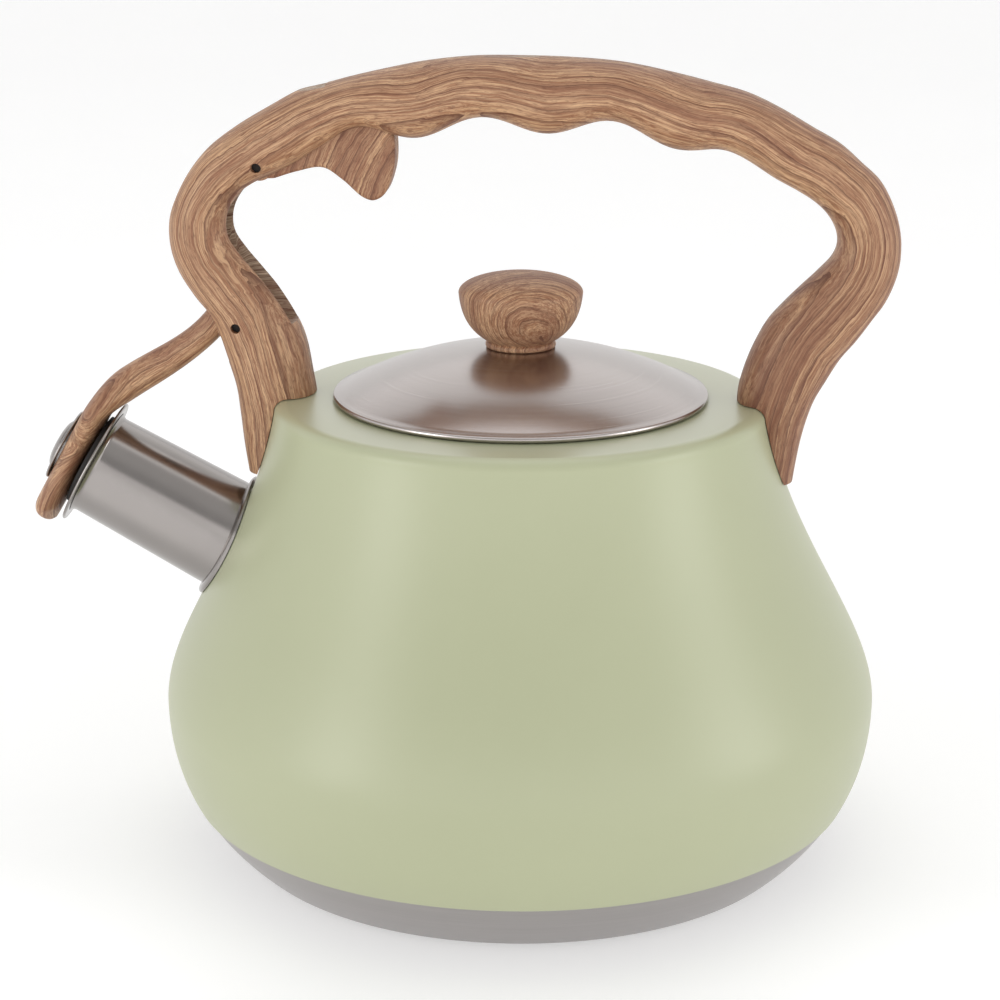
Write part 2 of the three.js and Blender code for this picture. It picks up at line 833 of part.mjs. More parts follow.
// The pocket in a foot that slides over its bracket, and the screw's hole. Side is -1 or 1.
function footCutters(side) {
  const at = (x) => side * (deckEdge + x);
  const width = bracketHalfWidth + seat;
  const [under, top] = [deckHeight - 1, deckHeight + bracketHeight + 2 * seat];
  const prong = (from, to) =>
    block([at(seat), from, under], [at(-bracketThickness - seat), to, top]);
  return [
    prong(-width, seat - bracketNotch),
    prong(bracketNotch - seat, width),
    block([at(seat), -width, under], [at(-bracketFoot - seat), width, footTop + seat]),
    rodZ(screwRadius + press, under, screwTip + 0.5, 20).translate(side * screwPlace, 0, 0),
  ];
}

function pinHalfLength(axis) {
  const nearest = handleRings(stations.length * 2).reduce((a, b) => {
    const away = (ring) => Math.hypot(ring.x - axis.x, ring.z - axis.z);
    return away(a) < away(b) ? a : b;
  });
  const off = new THREE.Vector2(axis.x - nearest.x, axis.z - nearest.z).dot(nearest.across);
  const share = Math.abs(off / nearest.half) ** squareness;
  return nearest.depth * (1 - share) ** (1 / squareness) - pinRecess;
}

function handle() {
  const blank = solid(lofted(handleRings(74)));
  const made = subtractAll(
    blank,
    vesselGrown(seat),
    slotCutter(),
    topStep(),
    rodY(pinRadius + press, -20, 20, triggerAxis.x, triggerAxis.z),
    rodY(pinRadius + press, -20, 20, leverAxis.x, leverAxis.z),
    ...footCutters(-1),
    ...footCutters(1),
  );
  return mesh("handle", shapeOf(made), woodGrain);
}

function pin(name, axis) {
  const half = pinHalfLength(axis);
  return mesh(name, rodY(pinRadius, -half, half, axis.x, axis.z), plainSteel);
}

// Steel plate welded on the deck, whose two prongs stand up inside a foot of the handle.
const footTop = deckHeight + faceGap + bracketThickness;

function bracket(name, side) {
  const at = (x) => side * (deckEdge + x);
  const profile = outline([
    [at(-bracketFoot), deckHeight + faceGap],
    [at(0), deckHeight + faceGap],
    [at(0), deckHeight + bracketHeight],
    [at(-bracketThickness), deckHeight + bracketHeight],
    [at(-bracketThickness), footTop],
    [at(-bracketFoot), footTop],
  ]);
  const made = subtractAll(
    solid(pressed(profile, -bracketHalfWidth, bracketHalfWidth)),
    block(
      [at(1), -bracketNotch, footTop],
      [at(-bracketFoot), bracketNotch, deckHeight + bracketHeight + 1],
    ),
    rodZ(screwRadius + running, deckHeight - 1, footTop + 1, 20).translate(side * screwPlace, 0, 0),
  );
  return mesh(name, shapeOf(made), plainSteel);
}

// Screw up through the deck and the bracket's foot into the handle, head inside the vessel.
function handleScrew(name, side) {
  const seatHeight = deckHeight - sheet - faceGap;
  const bottom = seatHeight - screwHeadThickness;
  const body = turned(
    [
      [0, bottom],
      [screwHeadRadius * 0.7, bottom],
      [screwHeadRadius, bottom + 0.6],
      [screwHeadRadius, seatHeight],
      [screwRadius, seatHeight],
      [screwRadius, screwTip - 0.5],
      [screwRadius - 0.5, screwTip],
      [0, screwTip],
    ],
    20,
  );
  const slot = block([-4, -0.35, bottom - 1], [4, 0.35, bottom + 0.8]);
  const made = mesh(name, shapeOf(subtractAll(solid(body), slot)), plainSteel);
  made.position.x = side * screwPlace;
  return made;
}

// ---------------------------------------------------------------- trigger

// The trigger's nose pushes the lever's finger. Half-way through the swing the pushed face is
// upright and they meet at the height that gives the swing ratio.
const pinSpan = new THREE.Vector2(triggerAxis.x - leverAxis.x, triggerAxis.z - leverAxis.z);
const halfSwing = radians(leverSwing / 2);
const fingerReach = pinSpan.y / (1 + swingRatio);

// Centre of the nose at rest, from the trigger's pin.
function noseCentre() {
  const left = fingerOffset + noseRadius + noseGap;
  const middle = new THREE.Vector2(-left, fingerReach).sub(pinSpan);
  return middle.rotateAround(new THREE.Vector2(), -halfSwing / swingRatio);
}

// The arm bows out from the pin so that it stays inside the leg, and ends in the round nose.
function armOutline() {
  const end = noseCentre();
  const middleLine = new THREE.SplineCurve([
    new THREE.Vector2(-1, 0),
    new THREE.Vector2(end.x * 0.56, end.y * 0.33),
    new THREE.Vector2(end.x * 0.86, end.y * 0.64),
    end,
  ]);
  const left = [];
  const right = [];
  const steps = 8;
  for (let i = 0; i <= steps; i += 1) {
    const point = middleLine.getPoint(i / steps);
    const along = middleLine.getTangent(i / steps);
    const side = new THREE.Vector2(along.y, -along.x).multiplyScalar(noseRadius);
    left.push(point.clone().add(side));
    right.unshift(point.clone().sub(side));
  }
  const heading = middleLine.getTangent(1).angle();
  const cap = [];
  for (let i = 1; i < 6; i += 1) {
    cap.push(unit(heading - Math.PI / 2 + (Math.PI * i) / 6).multiplyScalar(noseRadius).add(end));
  }
  return new THREE.Shape([...left, ...cap, ...right]);
}

const hubRadius = 4.2;

function trigger() {
  const edge = new THREE.SplineCurve(
    [
      [4, -3.6],
      [10.4, -1.6],
      [17.3, -0.5],
      [22.8, -3.9],
      [28, -8.4],
      [31, -9.3],
      [34, -7.6],
      [36.4, -1.8],
      [37.1, 3.9],
      [36.4, 9],
      [33, 11.2],
      [24.8, 11.3],
      [13, 9],
      [2, 4],
    ].map(([x, z]) => new THREE.Vector2(x, z)),
  );
  const paddle = new THREE.Shape([
    new THREE.Vector2(0, 0),
    new THREE.Vector2(0, -3.8),
    ...edge.getPoints(36),
    new THREE.Vector2(0, 3.8),
  ]);
  const made = solid(pressed(paddle, -sideHalfWidth, sideHalfWidth, 0.9))
    .add(solid(rodY(hubRadius, -sideHalfWidth, sideHalfWidth, 0, 0, 28)))
    .add(solid(pressed(armOutline(), -fingerHalfWidth, fingerHalfWidth)));
  const bore = rodY(pinRadius + running, -10, 10, 0, 0);
  return mesh("trigger", shapeOf(subtractAll(made, bore)), woodGrain);
}

// ---------------------------------------------------------------- spout lever

const leverHubRadius = 6.3;
const springSide = 0.6; // the hub ends here in Y and the spring takes the rest of the slot
const springRoom = 7.2;
const padFace = spoutLength + 2 * faceGap + gasketThickness + 0.4;
const padMiddle = padFace + padThickness / 2;

// A point in the spout's own frame, seen from the lever's pin.
function fromLeverPin(up, out) {
  const point = new THREE.Vector3(up, 0, out).applyMatrix4(spoutMatrix);
  return new THREE.Vector2(point.x - leverAxis.x, point.z - leverAxis.z);
}

const padPoint = (up) => fromLeverPin(up, padMiddle);

// The arm leaves the hub downwards and turns down into the pad. The point that it bends
// round lies this far from the upper edge of the mouth ring.
const armBend = new THREE.Vector2(19, 12.5);

function leverRings() {
  const armEnd = padPoint(padAbove);
  const padLine = new THREE.Vector2(Math.sin(radians(spoutRise)), Math.cos(radians(spoutRise)));
  const arm = new THREE.CubicBezierCurve(
    new THREE.Vector2(-4.5, 3.6),
    fromLeverPin(mouthRingRadius, spoutLength).add(armBend),
    armEnd.clone().addScaledVector(padLine, 14),
    armEnd,
  );
  const rings = [];
  const armSteps = 14;
  for (let i = 0; i < armSteps; i += 1) {
    const t = i / armSteps;
    const point = arm.getPoint(t);
    const along = arm.getTangent(t);
    const widen = THREE.MathUtils.smoothstep(t, 0.45, 1);
    const thicken = THREE.MathUtils.smoothstep(t, 0.15, 0.6);
    const thin = THREE.MathUtils.smoothstep(t, armThins.from, armThins.to);
    rings.push({
      x: point.x,
      z: point.y,
      across: new THREE.Vector2(-along.y, along.x),
      half: armHalf + 0.7 * thicken - (armHalf + 0.7 - padThickness / 2) * thin,
      depth: sideHalfWidth + (padHalfWidth * 0.8 - sideHalfWidth) * widen,
    });
  }
  const padSteps = 14;
  const across = new THREE.Vector2(padLine.y, -padLine.x); // towards the spout
  for (let i = 0; i <= padSteps; i += 1) {
    const up = padAbove - ((padAbove + padBelow) * i) / padSteps;
    const fromRound = Math.max(0, padHalfWidth - padBelow - up) / padHalfWidth;
    const tip = Math.min(1, Math.sqrt(Math.max(0, 1 - fromRound ** 2)) + 0.22);
    const shoulder = THREE.MathUtils.smoothstep(up, 2, padAbove + 4);
    const fromTip = Math.min(1, (up + padBelow) / padTipLength);
    const half = (padThickness / 2) * (0.45 + 0.55 * Math.sqrt(1 - (1 - fromTip) ** 2));
    const point = padPoint(up).addScaledVector(across, padThickness / 2 - half);
    rings.push({
      x: point.x,
      z: point.y,
      across,
      half,
      depth: padHalfWidth * (1 - 0.2 * shoulder) * tip,
    });
  }
  return rings;
}

// The finger's left face is the face that is pushed.
const fingerAngle = Math.PI / 2 + halfSwing;

function fingerOutline() {
  const up = unit(fingerAngle);
  const right = unit(fingerAngle - Math.PI / 2);
  const corner = (along, across) => {
    const point = up.clone().multiplyScalar(along);
    point.addScaledVector(right, across - fingerOffset);
    return [point.x, point.y];
  };
  const top = fingerReach + 3.6;
  return outline([
    corner(2, 0),
    corner(2, fingerWidth),
    corner(top - 1.2, fingerWidth),
    corner(top, fingerWidth - 1.2),
    corner(top, 1),
    corner(top - 1, 0),
  ]);
}

function spoutLever() {
  const fromPin = new THREE.Matrix4().makeTranslation(-leverAxis.x, 0, -leverAxis.z);
  const whistleCut = rodZ(whistleBore, padFace - 10, padFace + 20)
    .applyMatrix4(spoutMatrix)
    .applyMatrix4(fromPin);
  const made = solid(lofted(leverRings()))
    .add(solid(rodY(leverHubRadius, -sideHalfWidth, sideHalfWidth, 0, 0, 32)))
    .add(solid(pressed(fingerOutline(), -fingerHalfWidth, fingerHalfWidth)));
  const cut = subtractAll(
    made,
    rodY(pinRadius + running, -10, 10, 0, 0),
    rodY(springRoom, springSide, 10, 0, 0, 32),
    whistleCut,
  );
  return mesh("spout_lever", shapeOf(cut), woodGrain);
}

// Torsion spring round the lever's pin: one leg pushes on the finger, one rests on the slot's floor.
function leverSpring() {
  const right = unit(fingerAngle - Math.PI / 2);
  const up = unit(fingerAngle);
  const legSide = fingerWidth - fingerOffset + wireRadius + 0.25;
  const coilStart = springSide + 0.3 + wireRadius;
  const pitch = 2 * wireRadius + 0.08;
  const steps = Math.round(coilTurns * 12);
  const points = [];
  const startAngle = fingerAngle - Math.PI / 2 + 0.35;
  const endAngle = startAngle - coilTurns * 2 * Math.PI;
  const legTop = up.clone().multiplyScalar(13).addScaledVector(right, legSide);
  const legRoot = up.clone().multiplyScalar(5.5).addScaledVector(right, legSide);
  points.push(new THREE.Vector3(legTop.x, coilStart, legTop.y));
  points.push(new THREE.Vector3(legRoot.x, coilStart, legRoot.y));
  for (let i = 0; i <= steps; i += 1) {
    const angle = startAngle + ((endAngle - startAngle) * i) / steps;
    const turn = unit(angle).multiplyScalar(coilRadius);
    points.push(new THREE.Vector3(turn.x, coilStart + (pitch * coilTurns * i) / steps, turn.y));
  }
  const end = points[points.length - 1];
  const away = unit(endAngle - Math.PI / 2);
  points.push(new THREE.Vector3(end.x + away.x * 3.2, end.y, end.z + away.y * 3.2));
  const wire = new THREE.Shape();
  wire.absarc(0, 0, wireRadius, 0, 2 * Math.PI);
  const geometry = new THREE.ExtrudeGeometry(wire, {
    steps: Math.round(points.length * 1.4),
    curveSegments: 3,
    bevelEnabled: false,
    extrudePath: new THREE.CatmullRomCurve3(points),
  });
  const made = mesh("lever_spring", shapeOf(solid(geometry)), plainSteel);
  made.position.set(leverAxis.x, 0, leverAxis.z);
  return made;
}

// ---------------------------------------------------------------- whistle

// Outer half of the whistle: a flange on the pad's outer face, a dome with the steam hole and a
// wall down the bore.
function whistleCap() {
  const face = padFace + padThickness + faceGap;
  const wallOut = whistleBore - seat;
  const wallIn = wallOut - 0.6;
  return mesh(
    "whistle_cap",
    turned(
      [
        [wallOut, face - 5],
        [wallOut, face],
        [whistleFlange, face],
        [whistleFlange, face + 0.5],
        [whistleFlange - 0.4, face + 0.9],
        [wallOut - 0.2, face + 0.9],
        [6, face + 1.8],
        [3.6, face + 2.4],
        [whistleHole, face + 2.6],
        [whistleHole, face + 2],
        [3.5, face + 1.8],
        [5.8, face + 1.2],
        [wallIn, face + 0.2],
        [wallIn, face - 5],
      ],
      36,
    ),
    polishedSteel,
  );
}

// Inner half: a cup inside the cap's wall whose hole lines up with the dome's.
function whistlePlate() {
  const wallOut = whistleBore - seat - 0.6 - 0.15;
  const wallIn = wallOut - 0.6;
  const bottom = padFace + 1.2;
  return mesh(
    "whistle_plate",
    turned(
      [
        [whistleHole, bottom],
        [wallOut, bottom],
        [wallOut, bottom + 5.2],
        [wallIn, bottom + 5.2],
        [wallIn, bottom + 0.6],
        [whistleHole, bottom + 0.6],
      ],
      36,
    ),
    polishedSteel,
  );
}

// Ring on the pad's inner face that closes the mouth of the spout.
function whistleGasket() {
  const near = spoutLength + 0.2;
  return mesh(
    "whistle_gasket",
    turned(
      [
        [gasketHole, near],
        [gasketRadius, near],
        [gasketRadius, near + gasketThickness],
        [gasketHole, near + gasketThickness],
      ],
      36,
    ),
    silicone,
  );
}

// ---------------------------------------------------------------- assembly

const vessel = new THREE.Group();
vessel.add(bodyShell(), basePan(), baseCore(), baseCover(), spoutCollar());
const spout = inSpoutFrame();
spout.add(spoutTube(), spoutMouthRing());
vessel.add(spout);

const lid = new THREE.Group();
lid.add(lidDome(), lidSkirt(), lidKnob(), knobInsert(), knobWasher(), knobScrew());

const handleGroup = new THREE.Group();
handleGroup.add(
  handle(),
  pin("trigger_pin", triggerAxis),
  pin("lever_pin", leverAxis),
  bracket("handle_bracket_left", -1),
  bracket("handle_bracket_right", 1),
  handleScrew("handle_screw_left", -1),
  handleScrew("handle_screw_right", 1),
  leverSpring(),
);

const triggerGroup = new THREE.Group();
triggerGroup.position.set(triggerAxis.x, 0, triggerAxis.z);
triggerGroup.add(trigger());

const leverGroup = new THREE.Group();
leverGroup.position.set(leverAxis.x, 0, leverAxis.z);
leverGroup.add(spoutLever());
const whistle = inSpoutFrame();
whistle.add(whistleCap(), whistlePlate(), whistleGasket());

const kettle = new THREE.Group();
kettle.add(vessel, lid, handleGroup, triggerGroup, leverGroup, whistle);

export default kettle;
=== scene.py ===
import json
import math

import bmesh
import bpy
import numpy as np
from mathutils import Matrix, Vector


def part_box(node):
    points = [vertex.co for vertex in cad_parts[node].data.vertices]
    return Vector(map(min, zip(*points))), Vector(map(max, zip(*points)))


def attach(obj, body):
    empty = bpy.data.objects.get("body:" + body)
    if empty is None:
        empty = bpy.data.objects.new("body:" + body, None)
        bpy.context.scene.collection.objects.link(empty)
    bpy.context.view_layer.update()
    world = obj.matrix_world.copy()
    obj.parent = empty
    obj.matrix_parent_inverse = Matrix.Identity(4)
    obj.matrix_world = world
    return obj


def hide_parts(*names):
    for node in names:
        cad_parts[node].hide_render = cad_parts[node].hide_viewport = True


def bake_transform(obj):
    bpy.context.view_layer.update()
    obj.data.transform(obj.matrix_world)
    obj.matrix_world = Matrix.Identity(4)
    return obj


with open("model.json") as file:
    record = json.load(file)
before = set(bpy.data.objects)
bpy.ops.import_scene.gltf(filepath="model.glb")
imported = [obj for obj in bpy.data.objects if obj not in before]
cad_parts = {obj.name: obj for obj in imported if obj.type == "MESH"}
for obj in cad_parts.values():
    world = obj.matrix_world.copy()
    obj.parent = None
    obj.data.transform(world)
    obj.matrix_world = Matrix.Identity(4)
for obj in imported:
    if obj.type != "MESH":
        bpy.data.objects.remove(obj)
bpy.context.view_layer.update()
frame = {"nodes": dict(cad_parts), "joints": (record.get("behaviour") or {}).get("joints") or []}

MM = 0.001


def low(node):
    return np.array(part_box(node)[0]) / MM


def high(node):
    return np.array(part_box(node)[1]) / MM


# Sizes read from the model.

joint = {j["name"]: j for j in frame["joints"]}
LEVER_X, _, LEVER_Z = np.array(joint["lever_swing"]["pos_m"]) / MM
TRIGGER_X, _, TRIGGER_Z = np.array(joint["trigger_pull"]["pos_m"]) / MM

DECK = high("body_shell")[2]
PAINT_LINE = low("body_shell")[2]
BELLY = round(high("body_shell")[1], 3)
LID_RADIUS = high("lid_dome")[0]

# Sizes shared with the solids.

BELLY_HEIGHT = 44.4
NECK = 68.2
FOOT = 78.9
SHOULDER = 3.6
SHEET = 0.9
OPENING = 49.4
LIP = 5.0
SEAT = 0.2
GAP = 0.1
COVER_RADIUS = 73.0

SPOUT_HEIGHT = 86.6
SPOUT_RISE = math.radians(29)
SPOUT_LENGTH = 44.2
SPOUT_ROOT_RADIUS = 15.5
SPOUT_MOUTH_RADIUS = 14.6
SPOUT_WALL = 0.9
FLARE_RADIUS = 15.6
FLARE_LENGTH = 1.5
MOUTH_RING = 18.5
MOUTH_RING_HOLE = 11.5
MOUTH_RING_EDGE = 0.4

LID_RISE = 12.8
LID_RIM = 1.6
LID_SHEET = 0.8

KNOB_RADIUS = 17.1
KNOB_HEIGHT = 20.5
KNOB_FOOT = 9.7
KNOB_WIDEST = 0.74  # of its height, up from the foot

HANDLE_SHIFT = 1.25
GRIP_TOP = 93.5
GRIP_DEPTH = 12.6
LEG_DEPTH = 11.2
SQUARENESS = 2.35
FINGER_PITCH = 35.5
FINGER_DEPTH = 2.3
FINGER_RIDGE = 7.0
SLOT = 5.3
SIDE = 4.9
PIN = 1.35

LEFT = HANDLE_SHIFT - NECK
RIGHT = HANDLE_SHIFT + NECK


# Curves and outlines.


def bezier(points, count):
    """Points of a cubic curve from its four control points."""
    a, b, c, d = [np.array(p, float) for p in points]
    t = np.linspace(0, 1, count)[:, None]
    return (1 - t) ** 3 * a + 3 * (1 - t) ** 2 * t * b + 3 * (1 - t) * t**2 * c + t**3 * d


def catmull(points, where):
    """Centripetal Catmull-Rom through the points, at places from 0 to 1."""
    p = np.array(points, float)
    p = np.vstack([2 * p[0] - p[1], p, 2 * p[-1] - p[-2]])
    out = []
    for w in where:
        place = w * (len(points) - 1)
        i = min(int(place), len(points) - 2)
        u = place - i
        a, b, c, d = p[i : i + 4]
        da, db, dc = [max(np.linalg.norm(v) ** 0.5, 1e-6) for v in (b - a, c - b, d - c)]
        m1 = ((b - a) / da - (c - a) / (da + db) + (c - b) / db) * db
        m2 = ((c - b) / db - (d - b) / (db + dc) + (d - c) / dc) * db
        out.append(
            b
            + m1 * u
            + (-3 * b + 3 * c - 2 * m1 - m2) * u**2
            + (2 * b - 2 * c + m1 + m2) * u**3
        )
    return np.array(out)


def offset(line, inwards):
    """An open line of (r, z) points moved sideways, to the left of its direction."""
    along = np.gradient(line, axis=0)
    along /= np.linalg.norm(along, axis=1)[:, None]
    return line + inwards * np.stack([-along[:, 1], along[:, 0]], 1)


def arc(centre, radius, start, end, count):
    angles = np.radians(np.linspace(start, end, count))
    return np.array(centre) + radius * np.stack([np.cos(angles), np.sin(angles)], 1)


def smooth(x, a, b):
    t = np.clip((np.asarray(x, float) - a) / (b - a), 0, 1)
    return t * t * (3 - 2 * t)


# How far the ends of the wall's curves are pulled, as in the solids.
FOOT_PULL, BELLY_PULL_DOWN, BELLY_PULL_UP, NECK_PULL = (12.1, 10), 20.9, 18.7, (6.8, 36.8)
LOWER = bezier(
    [
        (FOOT, 0),
        (FOOT + FOOT_PULL[0], FOOT_PULL[1]),
        (BELLY, BELLY_HEIGHT - BELLY_PULL_DOWN),
        (BELLY, BELLY_HEIGHT),
    ],
    81,
)
UPPER = bezier(
    [
        (BELLY, BELLY_HEIGHT),
        (BELLY, BELLY_HEIGHT + BELLY_PULL_UP),
        (NECK + NECK_PULL[0], DECK - SHOULDER - NECK_PULL[1]),
        (NECK, DECK - SHOULDER),
    ],
    121,
)


def wall_from(height):
    """The outside of the vessel from a height up to the edge of its flat deck."""
    start = np.array([[np.interp(height, LOWER[:, 1], LOWER[:, 0]), height]])
    lower = LOWER[LOWER[:, 1] > height + 0.2]
    shoulder = arc((NECK - SHOULDER, DECK - SHOULDER), SHOULDER, 0, 90, 13)
    return np.vstack([start, lower, UPPER[1:-1], shoulder])


# Meshes.


def mesh_object(name, vertices, faces):
    mesh = bpy.data.meshes.new(name)
    mesh.from_pydata((np.array(vertices, float) * MM).tolist(), [], faces)
    mesh.update()
    made = bpy.data.objects.new(name, mesh)
    bpy.context.scene.collection.objects.link(made)
    return made


def facing_out(mesh):
    """Merges doubles and turns a closed mesh so that its faces point outwards."""
    work = bmesh.new()
    work.from_mesh(mesh)
    bmesh.ops.remove_doubles(work, verts=work.verts, dist=2e-7)
    bmesh.ops.dissolve_degenerate(work, edges=work.edges, dist=1e-8)
    if work.calc_volume(signed=True) < 0:
        bmesh.ops.reverse_faces(work, faces=work.faces)
    work.to_mesh(mesh)
    work.free()
    mesh.update()


def shaded(made, angle=32):
    made.data.shade_smooth()
    made.data.set_sharp_from_angle(angle=math.radians(angle))
    return made


def settled(made):
    """The object's modifiers become its mesh."""
    bpy.context.view_layer.update()
    graph = bpy.context.evaluated_depsgraph_get()
    mesh = bpy.data.meshes.new_from_object(made.evaluated_get(graph))
    made.modifiers.clear()
    made.data = mesh
    return made


def dropped(*objects):
    for o in objects:
        bpy.data.objects.remove(o)


def combined(made, operation, *tools):
    for tool in tools:
        modifier = made.modifiers.new("shape", "BOOLEAN")
        modifier.operation = operation
        modifier.solver = "EXACT"
        modifier.object = tool
        settled(made)
    dropped(*tools)
    return made


def painted(made, *materials):
    made.data.materials.clear()
    for material in materials:
        made.data.materials.append(material)


def cut(made, *tools):
    return combined(made, "DIFFERENCE", *tools)


def joined(made, *tools):
    return combined(made, "UNION", *tools)


def rounded(made, width, segments=2, angle=40):
    modifier = made.modifiers.new("edges", "BEVEL")
    modifier.width = width * MM
    modifier.segments = segments
    modifier.limit_method = "ANGLE"
    modifier.angle_limit = math.radians(angle)
    modifier.use_clamp_overlap = True
    return settled(made)


def placed(made, matrix):
    made.data.transform(matrix)
    made.data.update()
    return made


def pressed(name, outline, near, far):
    """An outline in the XZ plane, thick in Y."""
    count = len(outline)
    vertices = [(x, near, z) for x, z in outline] + [(x, far, z) for x, z in outline]
    faces = [tuple(range(count)), tuple(range(2 * count - 1, count - 1, -1))]
    for i in range(count):
        j = (i + 1) % count
        faces.append((j, i, i + count, j + count))
    made = mesh_object(name, vertices, faces)
    facing_out(made.data)
    return made


def rod(name, radius, near, far, x, z, painted_light_patches=48):
    return pressed(name, arc((x, z), radius, 0, 360 - 360 / painted_light_patches, painted_light_patches), near, far)


def lofted(name, rings, points=64, within=None):
    """A skin over oval rings: (x, z), (across x, across z), half size, half depth.

    Its smooth curve would pass the faceted solid by a tenth of a millimetre, so within names
    the node whose box it keeps to.
    """
    angles = 2 * np.pi * (np.arange(points) + 0.5) / points
    curl = lambda v: np.sign(v) * np.abs(v) ** (2 / SQUARENESS)
    across, side = curl(np.cos(angles)), curl(np.sin(angles))
    vertices, faces = [], []
    for (x, z), (ax, az), half, depth in rings:
        for c, s in zip(across, side):
            vertices.append((x + ax * c * half, s * depth, z + az * c * half))
    if within:
        vertices = np.clip(vertices, low(within), high(within))
    count = len(rings)
    for i in range(count - 1):
        for j in range(points):
            k = (j + 1) % points
            a, b = i * points, (i + 1) * points
            faces.append((a + j, a + k, b + k, b + j))
    faces.append(tuple(range(points - 1, -1, -1)))
    faces.append(tuple(range((count - 1) * points, count * points)))
    made = mesh_object(name, vertices, faces)
    facing_out(made.data)
    return made


# Node trees for shapes.


class Tree:
    """Builds a geometry tree with named inputs."""

    def __init__(self, name, inputs):
        self.tree = bpy.data.node_groups.new(name, "GeometryNodeTree")
        face = self.tree.interface
        face.new_socket("Geometry", in_out="INPUT", socket_type="NodeSocketGeometry")
        for title, kind in inputs:
            face.new_socket(title, in_out="INPUT", socket_type=kind)
        face.new_socket("Geometry", in_out="OUTPUT", socket_type="NodeSocketGeometry")
        self.start = self.tree.nodes.new("NodeGroupInput")
        self.end = self.tree.nodes.new("NodeGroupOutput")

    def node(self, kind, settings=None, **sockets):
        made = self.tree.nodes.new(kind)
        for key, value in (settings or {}).items():
            setattr(made, key, value)
        for key, value in sockets.items():
            numbered = key[0] == "i" and key[1:].isdigit()
            socket = made.inputs[int(key[1:]) if numbered else key]
            if hasattr(value, "is_output"):
                self.tree.links.new(value, socket)
            else:
                socket.default_value = value
        return made

    def math(self, operation, a, b=0.0):
        return self.node("ShaderNodeMath", {"operation": operation}, i0=a, i1=b).outputs[0]

    def given(self, title):
        return self.start.outputs[title]

    def finish(self, geometry):
        real = self.node("GeometryNodeRealizeInstances", i0=geometry)
        painted = self.node("GeometryNodeSetMaterial", i0=real.outputs[0])
        self.tree.links.new(self.given("Material"), painted.inputs["Material"])
        self.tree.links.new(painted.outputs[0], self.end.inputs[0])
        return self.tree


def turning_tree():
    """A line of (radius, 0, height) points turned about Z into a skin."""
    t = Tree("turned piece", [("Segments", "NodeSocketInt"), ("Material", "NodeSocketMaterial")])
    line = t.given("Geometry")
    count = t.node("GeometryNodeAttributeDomainSize", {"component": "MESH"}, i0=line)
    rows = t.math("ADD", t.given("Segments"), 1.0)
    grid = t.node("GeometryNodeMeshGrid", i0=1.0, i1=1.0, i2=count.outputs["Point Count"], i3=rows)
    index = t.node("GeometryNodeInputIndex").outputs[0]
    place = t.math("FLOOR", t.math("DIVIDE", t.math("ADD", index, 0.5), rows))
    step = t.math("SUBTRACT", index, t.math("MULTIPLY", place, rows))
    angle = t.math("MULTIPLY", t.math("DIVIDE", step, t.given("Segments")), 2 * math.pi)
    position = t.node("GeometryNodeInputPosition").outputs[0]
    sample = t.node(
        "GeometryNodeSampleIndex",
        {"data_type": "FLOAT_VECTOR", "domain": "POINT"},
        Geometry=line,
        Value=position,
        Index=place,
    )
    parts = t.node("ShaderNodeSeparateXYZ", i0=sample.outputs[0])
    radius, height = parts.outputs[0], parts.outputs[2]
    point = t.node(
        "ShaderNodeCombineXYZ",
        i0=t.math("MULTIPLY", radius, t.math("COSINE", angle)),
        i1=t.math("MULTIPLY", radius, t.math("SINE", angle)),
        i2=height,
    )
    moved = t.node("GeometryNodeSetPosition", Geometry=grid.outputs[0], Position=point.outputs[0])
    merged = t.node("GeometryNodeMergeByDistance", Geometry=moved.outputs[0], Distance=1e-6)
    return t.finish(merged.outputs[0])


def wire_tree():
    """A wire that follows a line."""
    inputs = [("Radius", "NodeSocketFloat"), ("Material", "NodeSocketMaterial")]
    t = Tree("wire along a line", inputs)
    path = t.node("GeometryNodeMeshToCurve", i0=t.given("Geometry"))
    ring = t.node("GeometryNodeCurvePrimitiveCircle", {"mode": "RADIUS"}, Resolution=16)
    t.tree.links.new(t.given("Radius"), ring.inputs["Radius"])
    skin = t.node("GeometryNodeCurveToMesh", i0=path.outputs[0], i1=ring.outputs[0])
    skin.inputs["Fill Caps"].default_value = True
    return t.finish(skin.outputs[0])


TURNING = turning_tree()
WIRE = wire_tree()


def run_tree(name, tree, points, inputs):
    mesh = bpy.data.meshes.new(name)
    count = len(points)
    edges = [(i, i + 1) for i in range(count - 1)]
    mesh.from_pydata((np.array(points, float) * MM).tolist(), edges, [])
    made = bpy.data.objects.new(name, mesh)
    bpy.context.scene.collection.objects.link(made)
    modifier = made.modifiers.new("shape", "NODES")
    modifier.node_group = tree
    for item in tree.interface.items_tree:
        if item.item_type == "SOCKET" and item.in_out == "INPUT" and item.name in inputs:
            modifier[item.identifier] = inputs[item.name]
    settled(made)
    facing_out(made.data)
    return made


def turned(name, profile, material, segments=192):
    points = [(r, 0, z) for r, z in profile]
    if points[0][0] > 1e-6 or points[-1][0] > 1e-6:
        points.append(points[0])
    return run_tree(name, TURNING, points, {"Segments": segments, "Material": material})


# Materials.


